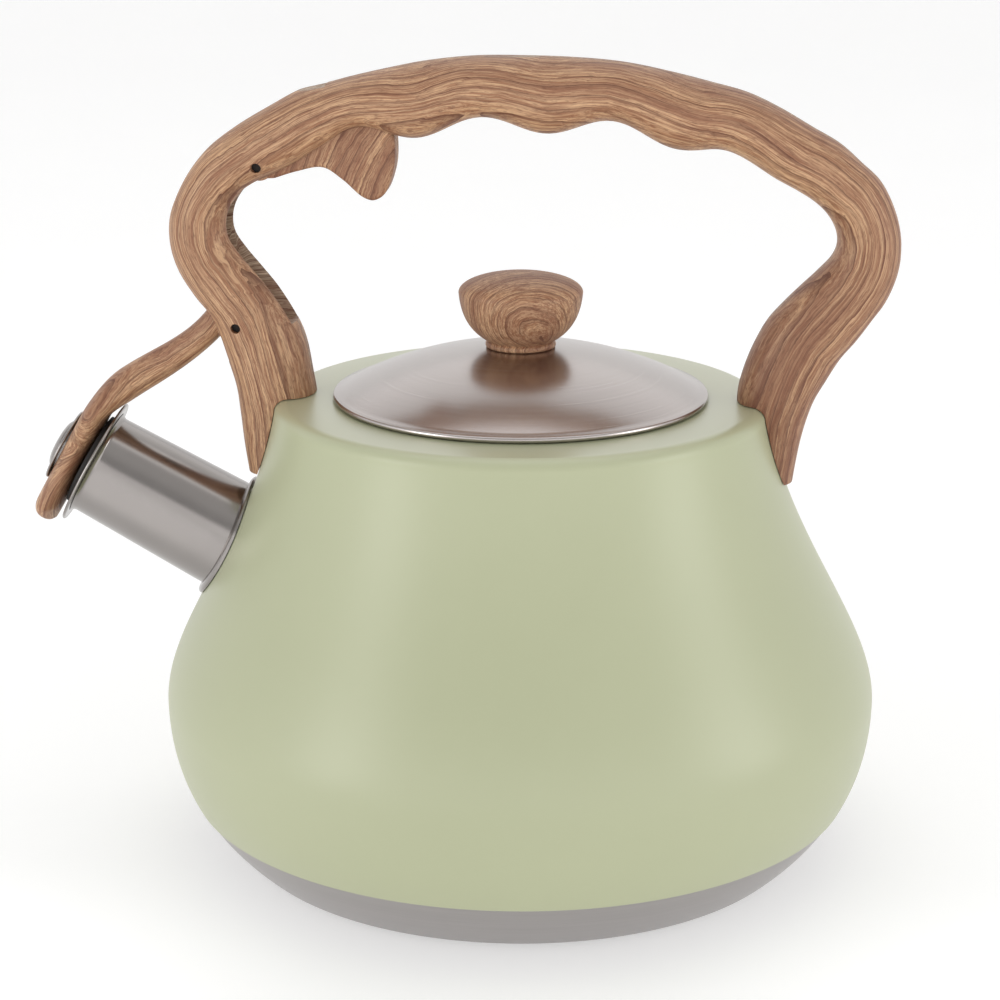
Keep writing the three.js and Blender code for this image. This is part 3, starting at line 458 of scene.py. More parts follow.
class Term:
    """A number that varies over a surface: operators add Math nodes."""

    def __init__(self, recipe, socket):
        self.recipe, self.socket = recipe, socket

    def _do(self, operation, other=0.0, turn=False):
        a, b = (other, self) if turn else (self, other)
        node = self.recipe.node("ShaderNodeMath", {"operation": operation}, {0: a, 1: b})
        return Term(self.recipe, node.outputs[0])

    def __add__(self, other):
        return self._do("ADD", other)

    def __sub__(self, other):
        return self._do("SUBTRACT", other)

    def __mul__(self, other):
        return self._do("MULTIPLY", other)

    def __truediv__(self, other):
        return self._do("DIVIDE", other)

    def __rsub__(self, other):
        return self._do("SUBTRACT", other, True)

    def __rtruediv__(self, other):
        return self._do("DIVIDE", other, True)

    __radd__ = __add__
    __rmul__ = __mul__

    def power(self, other):
        return self._do("POWER", other)

    def sqrt(self):
        return self._do("SQRT")

    def fract(self):
        return self._do("FRACT")

    def above(self, a, b):
        """0 below a, 1 above b, smooth between."""
        node = self.recipe.node(
            "ShaderNodeMapRange",
            {"interpolation_type": "SMOOTHSTEP"},
            {0: self, 1: a, 2: b, 3: 0.0, 4: 1.0},
        )
        return Term(self.recipe, node.outputs[0])


class Recipe:
    """One material and the nodes of its surface."""

    def __init__(self, name, **constants):
        self.material = bpy.data.materials.new(name)
        self.material.use_nodes = True
        self.tree = self.material.node_tree
        self.tree.nodes.clear()
        output = self.tree.nodes.new("ShaderNodeOutputMaterial")
        self.shader = self.tree.nodes.new("ShaderNodeBsdfPrincipled")
        self.tree.links.new(self.shader.outputs[0], output.inputs[0])
        for key, value in constants.items():
            self.shader.inputs[key.replace("_", " ")].default_value = value

    def node(self, kind, settings=None, sockets=None):
        made = self.tree.nodes.new(kind)
        for key, value in (settings or {}).items():
            setattr(made, key, value)
        for key, value in (sockets or {}).items():
            self.feed(made.inputs[key], value)
        return made

    def feed(self, socket, value):
        if isinstance(value, Term):
            value = value.socket
        if hasattr(value, "is_output"):
            self.tree.links.new(value, socket)
        else:
            socket.default_value = value

    def place(self):
        """Object coordinates in millimetres as three terms."""
        coordinate = self.node("ShaderNodeTexCoord").outputs["Object"]
        return self._parts(coordinate, 1 / MM)

    def grain(self):
        attribute = self.node("ShaderNodeAttribute", {"attribute_name": "grain"})
        return self._parts(attribute.outputs["Vector"], 1)

    def _parts(self, vector, scale):
        parts = self.node("ShaderNodeSeparateXYZ", sockets={0: vector})
        return [Term(self, out) * scale for out in parts.outputs]

    def noise(self, x, y, z, detail=3.0, rough=0.5):
        where = self.node("ShaderNodeCombineXYZ", sockets={0: x, 1: y, 2: z})
        node = self.node(
            "ShaderNodeTexNoise",
            sockets={
                "Vector": where.outputs[0],
                "Scale": 1.0,
                "Detail": detail,
                "Roughness": rough,
            },
        )
        return Term(self, node.outputs[0])

    def mixed(self, amount, a, b):
        node = self.node("ShaderNodeMix", {"data_type": "RGBA"})
        self.feed(node.inputs[0], amount)
        self.feed(node.inputs[6], a if not isinstance(a, tuple) else (*a, 1))
        self.feed(node.inputs[7], b if not isinstance(b, tuple) else (*b, 1))
        return node.outputs[2]

    def bumped(self, height, distance, strength=1.0):
        sockets = {"Height": height, "Distance": distance * MM, "Strength": strength}
        bump = self.node("ShaderNodeBump", sockets=sockets)
        self.tree.links.new(bump.outputs[0], self.shader.inputs["Normal"])

    def set(self, **fed):
        for key, value in fed.items():
            self.feed(self.shader.inputs[key.replace("_", " ")], value)
        return self.material


def tone(r, g, b):
    """A display colour, 0 to 255, as the linear colour a shader wants."""
    out = []
    for c in (r, g, b):
        c /= 255
        out.append(c / 12.92 if c <= 0.04045 else ((c + 0.055) / 1.055) ** 2.4)
    return tuple(out)


def sage_paint():
    r = Recipe(
        "sage enamel",
        Coat_Roughness=0.3,
        Specular_IOR_Level=0.42,
        Metallic=0.0,
    )
    x, y, z = r.place()
    cloud = r.noise(x * 0.03, y * 0.03, z * 0.03, 2)
    peel = r.noise(x * 0.55, y * 0.55, z * 0.55, 2, 0.4)
    fleck = r.noise(x * 6, y * 6, z * 6, 1)
    colour = r.mixed(cloud, tone(176, 180, 147), tone(180, 184, 151))
    colour = r.mixed(fleck.above(0.62, 0.75) * 0.10, colour, tone(214, 217, 196))
    r.bumped(peel, 0.02, 0.35)
    deck = z.above(126.5, 129.0)
    return r.set(
        Base_Color=colour,
        Roughness=0.36 + 0.06 * cloud,
        Coat_Weight=0.16 + 0.74 * deck,
    )


def brushed(name, colour, dark, rough, spread=9.0):
    """Steel brushed in circles round Z."""
    r = Recipe(name, Metallic=1.0)
    x, y, z = r.place()
    radius = (x * x + y * y).sqrt()
    turn = r.noise(x * 0.02, y * 0.02, z * 0.02, 1)
    fine = r.noise(radius * spread, z * spread * 0.5 + turn * 2, turn * 3, 3, 0.6)
    coarse = r.noise(radius * spread * 0.2, z * spread * 0.1, turn * 2, 2)
    shade = fine * 0.6 + coarse * 0.4
    r.bumped(fine, 0.012, 0.35)
    return r.set(Base_Color=r.mixed(shade, dark, colour), Roughness=rough + 0.16 * (shade - 0.5))


def polished(name, colour, rough):
    r = Recipe(name, Metallic=1.0)
    x, y, z = r.place()
    haze = r.noise(x * 0.08, y * 0.08, z * 0.08, 3)
    lines = r.noise(x * 0.3, y * 4.0, z * 0.3, 2)
    tint = r.mixed(haze, tuple(0.9 * c for c in colour), colour)
    r.bumped(lines, 0.004, 0.2)
    return r.set(Base_Color=tint, Roughness=rough + 0.07 * haze * lines)


def plain_metal(name, colour, rough):
    r = Recipe(name, Metallic=1.0)
    x, y, z = r.place()
    grit = r.noise(x * 2.5, y * 2.5, z * 2.5, 3)
    tint = r.mixed(grit, tuple(0.75 * c for c in colour), colour)
    r.bumped(grit, 0.02, 0.3)
    return r.set(Base_Color=tint, Roughness=rough + 0.15 * grit)


def wood_print(
    name,
    seed,
    turn=0.0,
    dark=0.35,
    stretch=1.0,
    tan=(210, 170, 132),
    brown=(158, 112, 82),
    dark_end=None,
):
    """Wood grain printed on moulded plastic: fine streaks, growth lines, dashes and broad bands."""
    r = Recipe(name, Metallic=0.0, Specular_IOR_Level=0.35)
    along, across, side = r.grain()
    if turn:
        c, s = math.cos(math.radians(turn)), math.sin(math.radians(turn))
        along, across = along * c + across * s, across * c - along * s
    along = along * stretch
    sway = r.noise(along * 0.014 + seed, across * 0.04, side * 0.04, 1) - 0.5
    ripple = r.noise(along * 0.08, across * 0.1 + seed, side * 0.1, 2) - 0.5
    u = across + sway * 8 + ripple * 1.8 + side * 0.5
    broad = r.noise(along * 0.006 + seed, u * 0.14, side * 0.03, 2, 0.5)
    growth = u * 0.36 + (r.noise(along * 0.007, u * 0.09, seed, 1) - 0.5) * 3
    line = growth.fract().power(5.5)
    reach = r.noise(along * 0.03 + seed, u * 0.35, side * 0.2, 2)
    thin = (growth * 2.7 + broad * 2).fract().power(4)
    fine = r.noise(along * 0.06, u * 2.0 + seed, side * 0.9, 4, 0.68)
    hair = r.noise(along * 0.16, u * 5.0, side * 2.6, 3, 0.6)
    dash = r.noise(along * 0.5, u * 4.0, side * 2.5, 2, 0.5).above(0.55, 0.66)
    colour = r.mixed(fine.above(0.36, 0.62), tone(*brown), tone(*tan))
    colour = r.mixed(hair.above(0.48, 0.64) * 0.5, colour, tone(120, 80, 58))
    bands = broad.above(0.60 - 0.3 * dark, 0.78 - 0.3 * dark)
    colour = r.mixed(bands * 0.55, colour, tone(134, 88, 66))
    colour = r.mixed(thin * 0.42, colour, tone(114, 68, 50))
    if dark_end:
        band = r.noise(along * 0.012, u * 0.34, seed, 2, 0.5).above(0.36, 0.6)
        colour = r.mixed(along.above(*dark_end) * band * 0.55, colour, tone(112, 66, 46))
    lines = line * reach.above(0.30, 0.52)
    colour = r.mixed(lines * 0.80, colour, tone(84, 42, 32))
    colour = r.mixed(dash * 0.4, colour, tone(92, 56, 42))
    worn = lines * 0.6 + hair.above(0.50, 0.66) * 0.3 + dash * 0.4
    r.bumped(1 - worn, 0.07, 0.6)
    return r.set(Base_Color=colour, Roughness=0.48 + 0.12 * worn)


def black_rubber():
    r = Recipe("black silicone", Metallic=0.0)
    x, y, z = r.place()
    dust = r.noise(x * 1.5, y * 1.5, z * 1.5, 3)
    r.bumped(dust, 0.03, 0.3)
    colour = r.mixed(dust, tone(22, 20, 20), tone(40, 37, 36))
    return r.set(Base_Color=colour, Roughness=0.55 + 0.2 * dust)


PAINT = sage_paint()
LID_STEEL = brushed("brushed lid steel", tone(192, 185, 182), tone(168, 161, 158), 0.25)
BAND_STEEL = brushed("brushed base steel", tone(184, 180, 178), tone(156, 152, 150), 0.33, 5.0)
BRIGHT = polished("polished steel", tone(156, 151, 148), 0.19)
DULL = plain_metal("plain steel", tone(150, 149, 148), 0.38)
PIN_STEEL = plain_metal("dark pin steel", tone(62, 58, 56), 0.45)
ALUMINIUM = plain_metal("raw aluminium", tone(200, 201, 203), 0.45)
BRASS = plain_metal("turned brass", tone(196, 162, 96), 0.3)
RUBBER = black_rubber()


# Spout frame.

AXIS = np.array([-math.cos(SPOUT_RISE), math.sin(SPOUT_RISE)])
ACROSS = np.array([math.sin(SPOUT_RISE), math.cos(SPOUT_RISE)])
ROOT = np.array([-np.interp(SPOUT_HEIGHT, UPPER[:, 1], UPPER[:, 0]), SPOUT_HEIGHT])


def spout_matrix():
    return Matrix(
        (
            (ACROSS[0], 0, AXIS[0], ROOT[0] * MM),
            (0, 1, 0, 0),
            (ACROSS[1], 0, AXIS[1], ROOT[1] * MM),
            (0, 0, 0, 1),
        )
    )


SPOUT = spout_matrix()


def spout_rod(radius, near, far):
    """A round bar on the spout's axis."""
    profile = [(0, near), (radius, near), (radius, far), (0, far)]
    return placed(turned("hole", profile, PAINT, 96), SPOUT)


MOUTH_BACK = SPOUT_LENGTH - 0.9 - GAP


# Vessel.


def body_shell():
    outer = wall_from(PAINT_LINE)
    inner = offset(outer, SHEET)
    lip = [
        (OPENING + 1.4, DECK),
        (OPENING + 0.7, DECK - 0.12),
        (OPENING + 0.2, DECK - 0.5),
        (OPENING, DECK - 1.1),
        (OPENING, DECK - LIP),
        (OPENING + SHEET, DECK - LIP),
        (OPENING + SHEET, DECK - 1.5),
        (OPENING + SHEET + 0.2, DECK - 1.1),
        (OPENING + SHEET + 0.6, DECK - SHEET),
    ]
    shell = turned("painted_shell", [*outer, *lip, *inner[::-1]], PAINT, 256)
    cut(shell, spout_rod(SPOUT_ROOT_RADIUS + 0.3, -14, 9))
    return shaded(shell)


def base_pan():
    band = LOWER[(LOWER[:, 1] > 1.2) & (LOWER[:, 1] < PAINT_LINE - 0.3)]
    band = offset(band, 0.5)
    inside = LOWER[(LOWER[:, 1] > 5.5) & (LOWER[:, 1] < PAINT_LINE + 3)]
    inside = offset(inside, 2 * SHEET + GAP)
    lap = LOWER[(LOWER[:, 1] > PAINT_LINE + 0.2) & (LOWER[:, 1] < PAINT_LINE + 3)]
    lap = offset(lap, SHEET + GAP)
    floor = 5.4
    profile = [
        (0, floor - 1),
        (COVER_RADIUS + 0.2, floor - 1),
        (COVER_RADIUS + 0.2, 0.8),
        (COVER_RADIUS + 0.5, 0.55),
        (FOOT - 2.2, 0.5),
        (FOOT - 1.2, 0.6),
        *band,
        *lap,
        *inside[::-1],
        (inside[0][0] - 0.6, floor),
        (0, floor),
    ]
    return shaded(turned("base_band", profile, BAND_STEEL, 256))


def base_cover():
    edge = arc((COVER_RADIUS - 0.4, 0.45), 0.4, -90, 30, 6)
    groove = []
    for radius in range(18, 72, 9):
        groove += [(radius - 0.5, 0), (radius - 0.2, 0.15), (radius + 0.2, 0.15), (radius + 0.5, 0)]
    profile = [(0, 0), *groove, *edge, (COVER_RADIUS - 0.1, 1.0), (0, 1.0)]
    return shaded(turned("base_disc", profile, BAND_STEEL, 192))


def spout_tube():
    flare_start = MOUTH_BACK - FLARE_LENGTH
    taper = SPOUT_ROOT_RADIUS - SPOUT_MOUTH_RADIUS
    flare = FLARE_RADIUS - SPOUT_MOUTH_RADIUS
    outer = [(SPOUT_ROOT_RADIUS, -5.0), (SPOUT_ROOT_RADIUS, 4.0)]
    t = np.linspace(0, 1, 12)[1:]
    outer += [(SPOUT_ROOT_RADIUS - taper * v, 4 + (flare_start - 4) * v) for v in t]
    outer += [(SPOUT_MOUTH_RADIUS + flare * v**2.2, flare_start + FLARE_LENGTH * v) for v in t]
    outer = np.array(outer)
    inner = outer - np.array([SPOUT_WALL, 0])
    tube = turned("spout_tube_skin", [*outer, *inner[::-1]], BRIGHT, 128)
    return shaded(placed(tube, SPOUT), 40)


def mouth_ring():
    back, front = MOUTH_BACK + GAP, SPOUT_LENGTH
    middle, round_edge = (back + front) / 2, MOUTH_RING_EDGE
    edge = arc((MOUTH_RING - round_edge, middle), round_edge, -80, 80, 7)
    lip = arc((MOUTH_RING_HOLE + round_edge, middle), round_edge, 100, 260, 7)
    ring = turned("spout_mouth_rim", [*edge, *lip], BRIGHT, 128)
    return shaded(placed(ring, SPOUT), 40)


def collar():
    """A pressed flange that follows the wall round the root of the tube."""
    rows, columns = 14, 144
    inner, outer = SPOUT_ROOT_RADIUS + 0.25, SPOUT_ROOT_RADIUS + 2.7
    thickest, least = 1.35, 0.22
    section = []
    for v in np.linspace(0, 1, rows):
        crown = math.sin(math.pi * min(1, 0.12 + v * 0.62)) ** 0.6
        section.append((outer - (outer - inner) * v, thickest * crown))
    vertices, faces = [], []
    wall = wall_from(20)

    def on_wall(t, y, lift):
        """Walks out along the spout's axis from a place across it until the wall is left behind."""
        s = np.linspace(-14, 14, 561)
        x = ROOT[0] + AXIS[0] * s + ACROSS[0] * t
        z = ROOT[1] + AXIS[1] * s + ACROSS[1] * t
        beyond = np.hypot(x, y) - np.interp(z, wall[:, 1], wall[:, 0])
        k = int(np.argmax(beyond > 0))
        f = beyond[k] / (beyond[k] - beyond[k - 1])
        return s[k] - f * (s[k] - s[k - 1]) + lift

    for j in range(columns):
        angle = 2 * math.pi * j / columns
        for r, lift in [(outer, least), *section, (inner, least)]:
            t, y = r * math.cos(angle), r * math.sin(angle)
            s = on_wall(t, y, max(lift, least) * 1.15)
            x, z = ROOT + AXIS * s + ACROSS * t
            vertices.append((x, y, z))
    per = rows + 2
    for j in range(columns):
        k = (j + 1) % columns
        for i in range(per):
            n = (i + 1) % per
            faces.append((j * per + i, k * per + i, k * per + n, j * per + n))
    made = mesh_object("spout_root_collar", vertices, faces)
    facing_out(made.data)
    made.data.materials.append(BRIGHT)
    return shaded(made, 40)


# Lid.

DOME_EDGE = LID_RADIUS - 1
DOME_SPHERE = (DOME_EDGE**2 + LID_RISE**2) / (2 * LID_RISE)
DOME_BASE = DECK + LID_RIM
DOME_TOP = DOME_BASE + LID_RISE


def dome_height(radius, inwards=0.0):
    depth = np.sqrt((DOME_SPHERE - inwards) ** 2 - np.asarray(radius, float) ** 2)
    return DOME_TOP - DOME_SPHERE + depth


def lid_dome():
    under = DECK + GAP
    radii = np.linspace(2.3, DOME_EDGE - 0.6, 44)
    top = [(r, dome_height(r)) for r in radii[::-1]]
    below = [(r, dome_height(r, LID_SHEET)) for r in np.linspace(2.3, DOME_EDGE - 2.6, 36)]
    rim = arc((LID_RADIUS - 0.85, under + 0.85), 0.85, -90, 62, 12)
    profile = [*below, (DOME_EDGE - 1.5, under + 0.4), (DOME_EDGE - 1.0, under), *rim, *top]
    return shaded(turned("lid_shell", profile, LID_STEEL, 256), 40)


def lid_skirt():
    outer = OPENING - 0.7
    inner = outer - LID_SHEET
    bottom = DECK - 9
    top = float(dome_height(outer, LID_SHEET)) - 0.5
    shelf = float(dome_height(inner - 5, LID_SHEET)) - 0.5
    curl = arc((outer - 1.2, bottom + 1.2), 1.2, 0, -90, 8)
    profile = [
        (outer, top),
        *curl,
        (inner - 1.6, bottom),
        (inner - 1.6, bottom + LID_SHEET),
        (inner, bottom + LID_SHEET + 0.3),
        (inner, top - LID_SHEET - 0.2),
        (inner - 5, shelf - LID_SHEET),
        (inner - 5, shelf),
    ]
    return shaded(turned("lid_inner_ring", profile, DULL, 192), 40)


KNOB_BASE = float(dome_height(KNOB_FOOT)) + GAP


def knob():
    base = KNOB_BASE
    widest = base + KNOB_HEIGHT * KNOB_WIDEST
    side = bezier(
        [
            (KNOB_FOOT - 0.3, base + 2.0),
            (KNOB_FOOT + 5, base + 5),
            (KNOB_RADIUS - 0.5, widest - 5.5),
            (KNOB_RADIUS, widest),
        ],
        32,
    )
    crown = bezier(
        [
            (KNOB_RADIUS, widest),
            (KNOB_RADIUS + 0.1, widest + 3.1),
            (9, base + KNOB_HEIGHT),
            (0, base + KNOB_HEIGHT),
        ],
        36,
    )
    foot = [
        (3.65, float(dome_height(3.65)) + GAP),
        (KNOB_FOOT - 0.6, base + 0.02),
        (KNOB_FOOT - 0.15, base + 0.2),
        (KNOB_FOOT, base + 0.6),
        (KNOB_FOOT, base + 1.1),
        (KNOB_FOOT - 0.3, base + 1.5),
        (KNOB_FOOT - 0.55, base + 1.7),
    ]
    profile = [*foot, *side, *crown[1:], (0, base + 10.2), (3.65, base + 10.2)]
    return shaded(turned("knob_body", profile, WOOD_KNOB, 144), 50)


# Handle.

TAIL = -22.3
G, L = GRIP_DEPTH, LEG_DEPTH

# Each station: datum, outer edge, inner edge, half depth. The datums are the left foot, the
# middle and the right foot, at the height of the deck.
STATIONS = [
    (LEFT, (-9.4, TAIL), (7, TAIL), L - 2.6),
    (LEFT, (-10.5, -14.4), (8.6, -14), L - 1.7),
    (LEFT, (-11.4, -5), (10, -3), L - 0.6),
    (LEFT, (-12.3, 2.2), (8.9, 5.9), L),
    (LEFT, (-14.6, 10.1), (6.5, 17.3), L),
    (LEFT, (-18.3, 21), (0.1, 28.6), L),
    (LEFT, (-23.2, 27.4), (-4.3, 34.2), L),
    (LEFT, (-27.3, 34.2), (-8.9, 39.7), L),
    (LEFT, (-29.4, 41.2), (-11.9, 44.2), L),
    (LEFT, (-29.4, 48.8), (-12.5, 48.2), L),
    (LEFT, (-27.2, 55.2), (-11.5, 52.3), L),
    (LEFT, (-23.4, 62), (-8.5, 56.5), L),
    (LEFT, (-18.1, 68.3), (-3.9, 59.5), L),
    (LEFT, (-10.7, 73.9), (2.2, 62.2), L),
    (LEFT, (-1.5, 79.4), (8.2, 65.6), L + 0.2),
    (LEFT, (7.4, 84.1), (13.7, 69.1), L + 0.4),
    (LEFT, (14.7, 85.9), (18.8, 71.5), L + 0.6),
    (LEFT, (21.1, 87.6), (23.5, 72.7), L + 0.9),
    (0, (-36, GRIP_TOP - 3.6), (-36, 73.5), G - 0.2),
    (0, (-26, GRIP_TOP - 1.6), (-26, 73.9), G),
    (0, (-13, GRIP_TOP - 0.2), (-14, 74.8), G),
    (0, (0, GRIP_TOP), (-1, 75.4), G),
    (0, (13, GRIP_TOP - 0.3), (12, 75.2), G),
    (0, (27.2, GRIP_TOP - 1.5), (25.1, 74.3), G),
    (0, (40.3, GRIP_TOP - 4), (37.1, 72.3), G),
    (RIGHT, (-18.5, 86.9), (-22.7, 70.7), G - 0.3),
    (RIGHT, (-8.7, 84.2), (-15.2, 68.5), L + 0.8),
    (RIGHT, (0, 80.2), (-7.6, 65.7), L + 0.5),
    (RIGHT, (8.9, 75.1), (-1, 61.7), L + 0.2),
    (RIGHT, (16.2, 70.9), (5, 58.5), L),
    (RIGHT, (22.1, 65.8), (9.6, 55.6), L),
    (RIGHT, (27.3, 60.9), (13.1, 52.3), L),
    (RIGHT, (31.4, 53), (15.5, 48.1), L),
    (RIGHT, (33.2, 45.2), (16.1, 44.2), L),
    (RIGHT, (32.8, 37.1), (14.9, 40.6), L),
    (RIGHT, (29.9, 28.9), (11.1, 36.3), L),
    (RIGHT, (26.2, 23.3), (6.9, 32.2), L),
    (RIGHT, (22.3, 17.7), (2.3, 27.5), L),
    (RIGHT, (18.1, 12.5), (-2.1, 22.3), L),
    (RIGHT, (14.5, 6.4), (-5.6, 15.6), L),
    (RIGHT, (11.5, 0.9), (-8.2, 8.3), L),
    (RIGHT, (9.4, -5.2), (-9.6, 1.6), L - 0.4),
    (RIGHT, (8, -11), (-9.3, -7.1), L - 1.2),
    (RIGHT, (7, -16.8), (-9, -15), L - 1.9),
    (RIGHT, (6.2, TAIL), (-8.4, TAIL), L - 2.6),
]

SLOT_OUTLINE = [
    (14.6, 84.2), (28.6, 85.2), (33.9, 78), (34, 66), (6, 50), (6, 30), (8.4, 20.9), (-0.4, 19.9),
    (-4.4, 12.6), (-17, 7.8), (-32, 12), (-32, 32), (-24.6, 34.5), (-26.8, 41), (-26.8, 48.6),
    (-24.8, 54.2), (-21.4, 60.4), (-16.4, 66.2), (-9.4, 71.2), (0.2, 77), (8.6, 81),
]


def handle_rings(count):
    outer = [(d + o[0], depth, DECK + o[1]) for d, o, i, depth in STATIONS]
    inner = [(d + i[0], 0, DECK + i[1]) for d, o, i, depth in STATIONS]
    where = np.linspace(0, 1, count)
    outer, inner = catmull(outer, where), catmull(inner, where)
    fade = smooth(inner[:, 0], LEFT + 10, LEFT + 28)
    fade = fade * (1 - smooth(inner[:, 0], RIGHT - 22, RIGHT - 4))
    wave = np.cos(2 * np.pi * (inner[:, 0] - FINGER_RIDGE) / FINGER_PITCH)
    inner[:, 2] -= FINGER_DEPTH * wave * fade
    rings = []
    for o, i in zip(outer, inner):
        span = np.array([o[0] - i[0], o[2] - i[2]])
        size = np.linalg.norm(span)
        rings.append((((o[0] + i[0]) / 2, (o[2] + i[2]) / 2), tuple(span / size), size / 2, o[1]))
    return rings


def vessel_blank(grown, segments=200):
    wall = offset(wall_from(1.0), -grown)
    return turned("vessel blank", [(0, 1), *wall, (0, DECK + grown)], PAINT, segments)


def handle_body():
    rings = handle_rings(340)
    made = lofted("handle_grip", rings, 72, within="handle")
    from_foot = lambda points: [(LEFT + x, DECK + z) for x, z in points]
    slot = pressed("slot", from_foot(SLOT_OUTLINE), -SLOT, SLOT)
    step = pressed("step", from_foot([(6.6, 83.8), (14.5, 85.1), (14.5, 95), (4, 95)]), -SLOT, SLOT)
    cut(
        made,
        vessel_blank(SEAT),
        slot,
        step,
        rod("bore", PIN + 0.05, -20, 20, TRIGGER_X, TRIGGER_Z),
        rod("bore", PIN + 0.05, -20, 20, LEVER_X, LEVER_Z),
    )
    facing_out(made.data)
    painted(made, WOOD_HANDLE, WOOD_SLOT_WITH_PAINTED_LIGHT)
    made = rounded(made, 0.35, 2, 50)
    facing_out(made.data)
    grain_along(made, rings)
    # Flat faces inside the slot take the second material, a lighter copy of the wood print that is
    # painted light against the recess's shade.
    for face in made.data.polygons:
        inside = abs(face.center.y) < (SLOT + 0.02) * MM and face.center.z > (DECK + 6) * MM
        bore = max(
            math.hypot(face.center.x - x * MM, face.center.z - z * MM) < 2.5 * MM
            for x, z in ((TRIGGER_X, TRIGGER_Z), (LEVER_X, LEVER_Z))
        )
        flat = abs(face.normal.y) > 0.98 or abs(face.normal.y) < 0.02
        face.material_index = 1 if inside and flat and not bore else 0
    return shaded(made, 45)


def grain_along(made, rings):
    """Writes for each point its place along the middle line, across it and to the side."""
    centre = np.array([r[0] for r in rings])
    across = np.array([r[1] for r in rings])
    along = np.concatenate([[0], np.cumsum(np.linalg.norm(np.diff(centre, axis=0), axis=1))])
    tangent = np.gradient(centre, axis=0)
    tangent /= np.linalg.norm(tangent, axis=1)[:, None]
    co = points_of(made)
    count = len(co)
    flat = co[:, [0, 2]]
    near = np.empty(count, int)
    for start in range(0, count, 4000):
        d = ((flat[start : start + 4000, None] - centre[None]) ** 2).sum(2)
        near[start : start + 4000] = d.argmin(1)
    off = flat - centre[near]
    values = np.stack(
        [
            along[near] + (off * tangent[near]).sum(1),
            (off * across[near]).sum(1),
            co[:, 1],
        ],
        1,
    )
    write_grain(made, values)


def write_grain(made, values):
    attribute = made.data.attributes.new("grain", "FLOAT_VECTOR", "POINT")
    attribute.data.foreach_set("vector", np.asarray(values, np.float32).ravel())


def points_of(made):
    co = np.empty(len(made.data.vertices) * 3)
    made.data.vertices.foreach_get("co", co)
    return co.reshape(-1, 3) / MM


def grain_round(made, x, z, squash=1.0, lean=0.0):
    """Rings of grain round a knot, whose axis runs in Y."""
    co = points_of(made)
    dx, dz = co[:, 0] - x, (co[:, 2] - z) * squash
    radius = np.hypot(dx, dz)
    angle = np.arctan2(np.abs(dx), dz)
    write_grain(made, np.stack([angle * 14, radius + lean * co[:, 1], co[:, 1]], 1))


def grain_straight(made, angle, origin=(0, 0)):
    co = points_of(made)
    c, s = math.cos(math.radians(angle)), math.sin(math.radians(angle))
    dx, dz = co[:, 0] - origin[0], co[:, 2] - origin[1]
    write_grain(made, np.stack([dx * c + dz * s, -dx * s + dz * c, co[:, 1]], 1))


# Trigger and lever.

SWING = 25.6
RATIO = 1.6
HALF_SWING = math.radians(SWING / 2)
NOSE = 2.5
NOSE_GAP = 0.6
FINGER_WIDTH = 4.2
FINGER_HALF = 3.3
FINGER_OFFSET = 3.5
HUB = 4.2
LEVER_HUB = 6.3
SPRING_SIDE = 0.6
SPRING_ROOM = 7.2
ARM_HALF = 3.8
ARM_THINS = (0.68, 0.95)  # of its length, so that it clears the mouth ring
PAD = 6.9
PAD_HALF = 15.0
PAD_ABOVE = 12.0
PAD_BELOW = 20.3
PAD_TIP = 5.0
GASKET = 1.4
GASKET_RADIUS = 13.4
PAD_FACE = SPOUT_LENGTH + 2 * GAP + GASKET + 0.4
PAD_MIDDLE = PAD_FACE + PAD / 2
BORE = 7.9
SPAN = np.array([TRIGGER_X - LEVER_X, TRIGGER_Z - LEVER_Z])
REACH = SPAN[1] / (1 + RATIO)


def turned_point(point, angle):
    c, s = math.cos(angle), math.sin(angle)
    return np.array([point[0] * c - point[1] * s, point[0] * s + point[1] * c])


def nose_centre():
    middle = np.array([-(FINGER_OFFSET + NOSE + NOSE_GAP), REACH]) - SPAN
    return turned_point(middle, -HALF_SWING / RATIO)


PADDLE = [
    (4, -3.6), (10.4, -1.6), (17.3, -0.5), (22.8, -3.9), (28, -8.4), (31, -9.3), (34, -7.6),
    (36.4, -1.8), (37.1, 3.9), (36.4, 9), (33, 11.2), (24.8, 11.3), (13, 9), (2, 4),
]


def trigger_piece():
    edge = catmull([(x, 0, z) for x, z in PADDLE], np.linspace(0, 1, 110))[:, [0, 2]]
    outline = [(0, -3.8), *edge, (0, 3.8)]
    at = lambda points: [(TRIGGER_X + x, TRIGGER_Z + z) for x, z in points]
    paddle = rounded(pressed("trigger_paddle", at(outline), -SIDE, SIDE), 1.1, 4, 50)
    end = nose_centre()
    bends = [(0.56, 0.33), (0.86, 0.64), (1, 1)]
    line = [(-1, 0, 0), *[(end[0] * a, 0, end[1] * b) for a, b in bends]]
    line = catmull(line, np.linspace(0, 1, 24))[:, [0, 2]]
    left = offset(line, -NOSE)
    right = offset(line, NOSE)
    along = line[-1] - line[-2]
    heading = math.degrees(math.atan2(along[1], along[0]))
    cap = arc(end, NOSE, heading - 90, heading + 90, 14)[1:-1]
    arm = pressed("arm", at([*left, *cap, *right[::-1]]), -FINGER_HALF, FINGER_HALF)
    hub = rod("hub", HUB, -SIDE, SIDE, TRIGGER_X, TRIGGER_Z)
    joined(paddle, hub, arm)
    cut(paddle, rod("bore", PIN + 0.08, -10, 10, TRIGGER_X, TRIGGER_Z))
    facing_out(paddle.data)
    refined(paddle, 0.9)
    painted(paddle, WOOD_TRIGGER)
    grain_straight(paddle, 62, (TRIGGER_X, TRIGGER_Z))
    return shaded(paddle, 40)


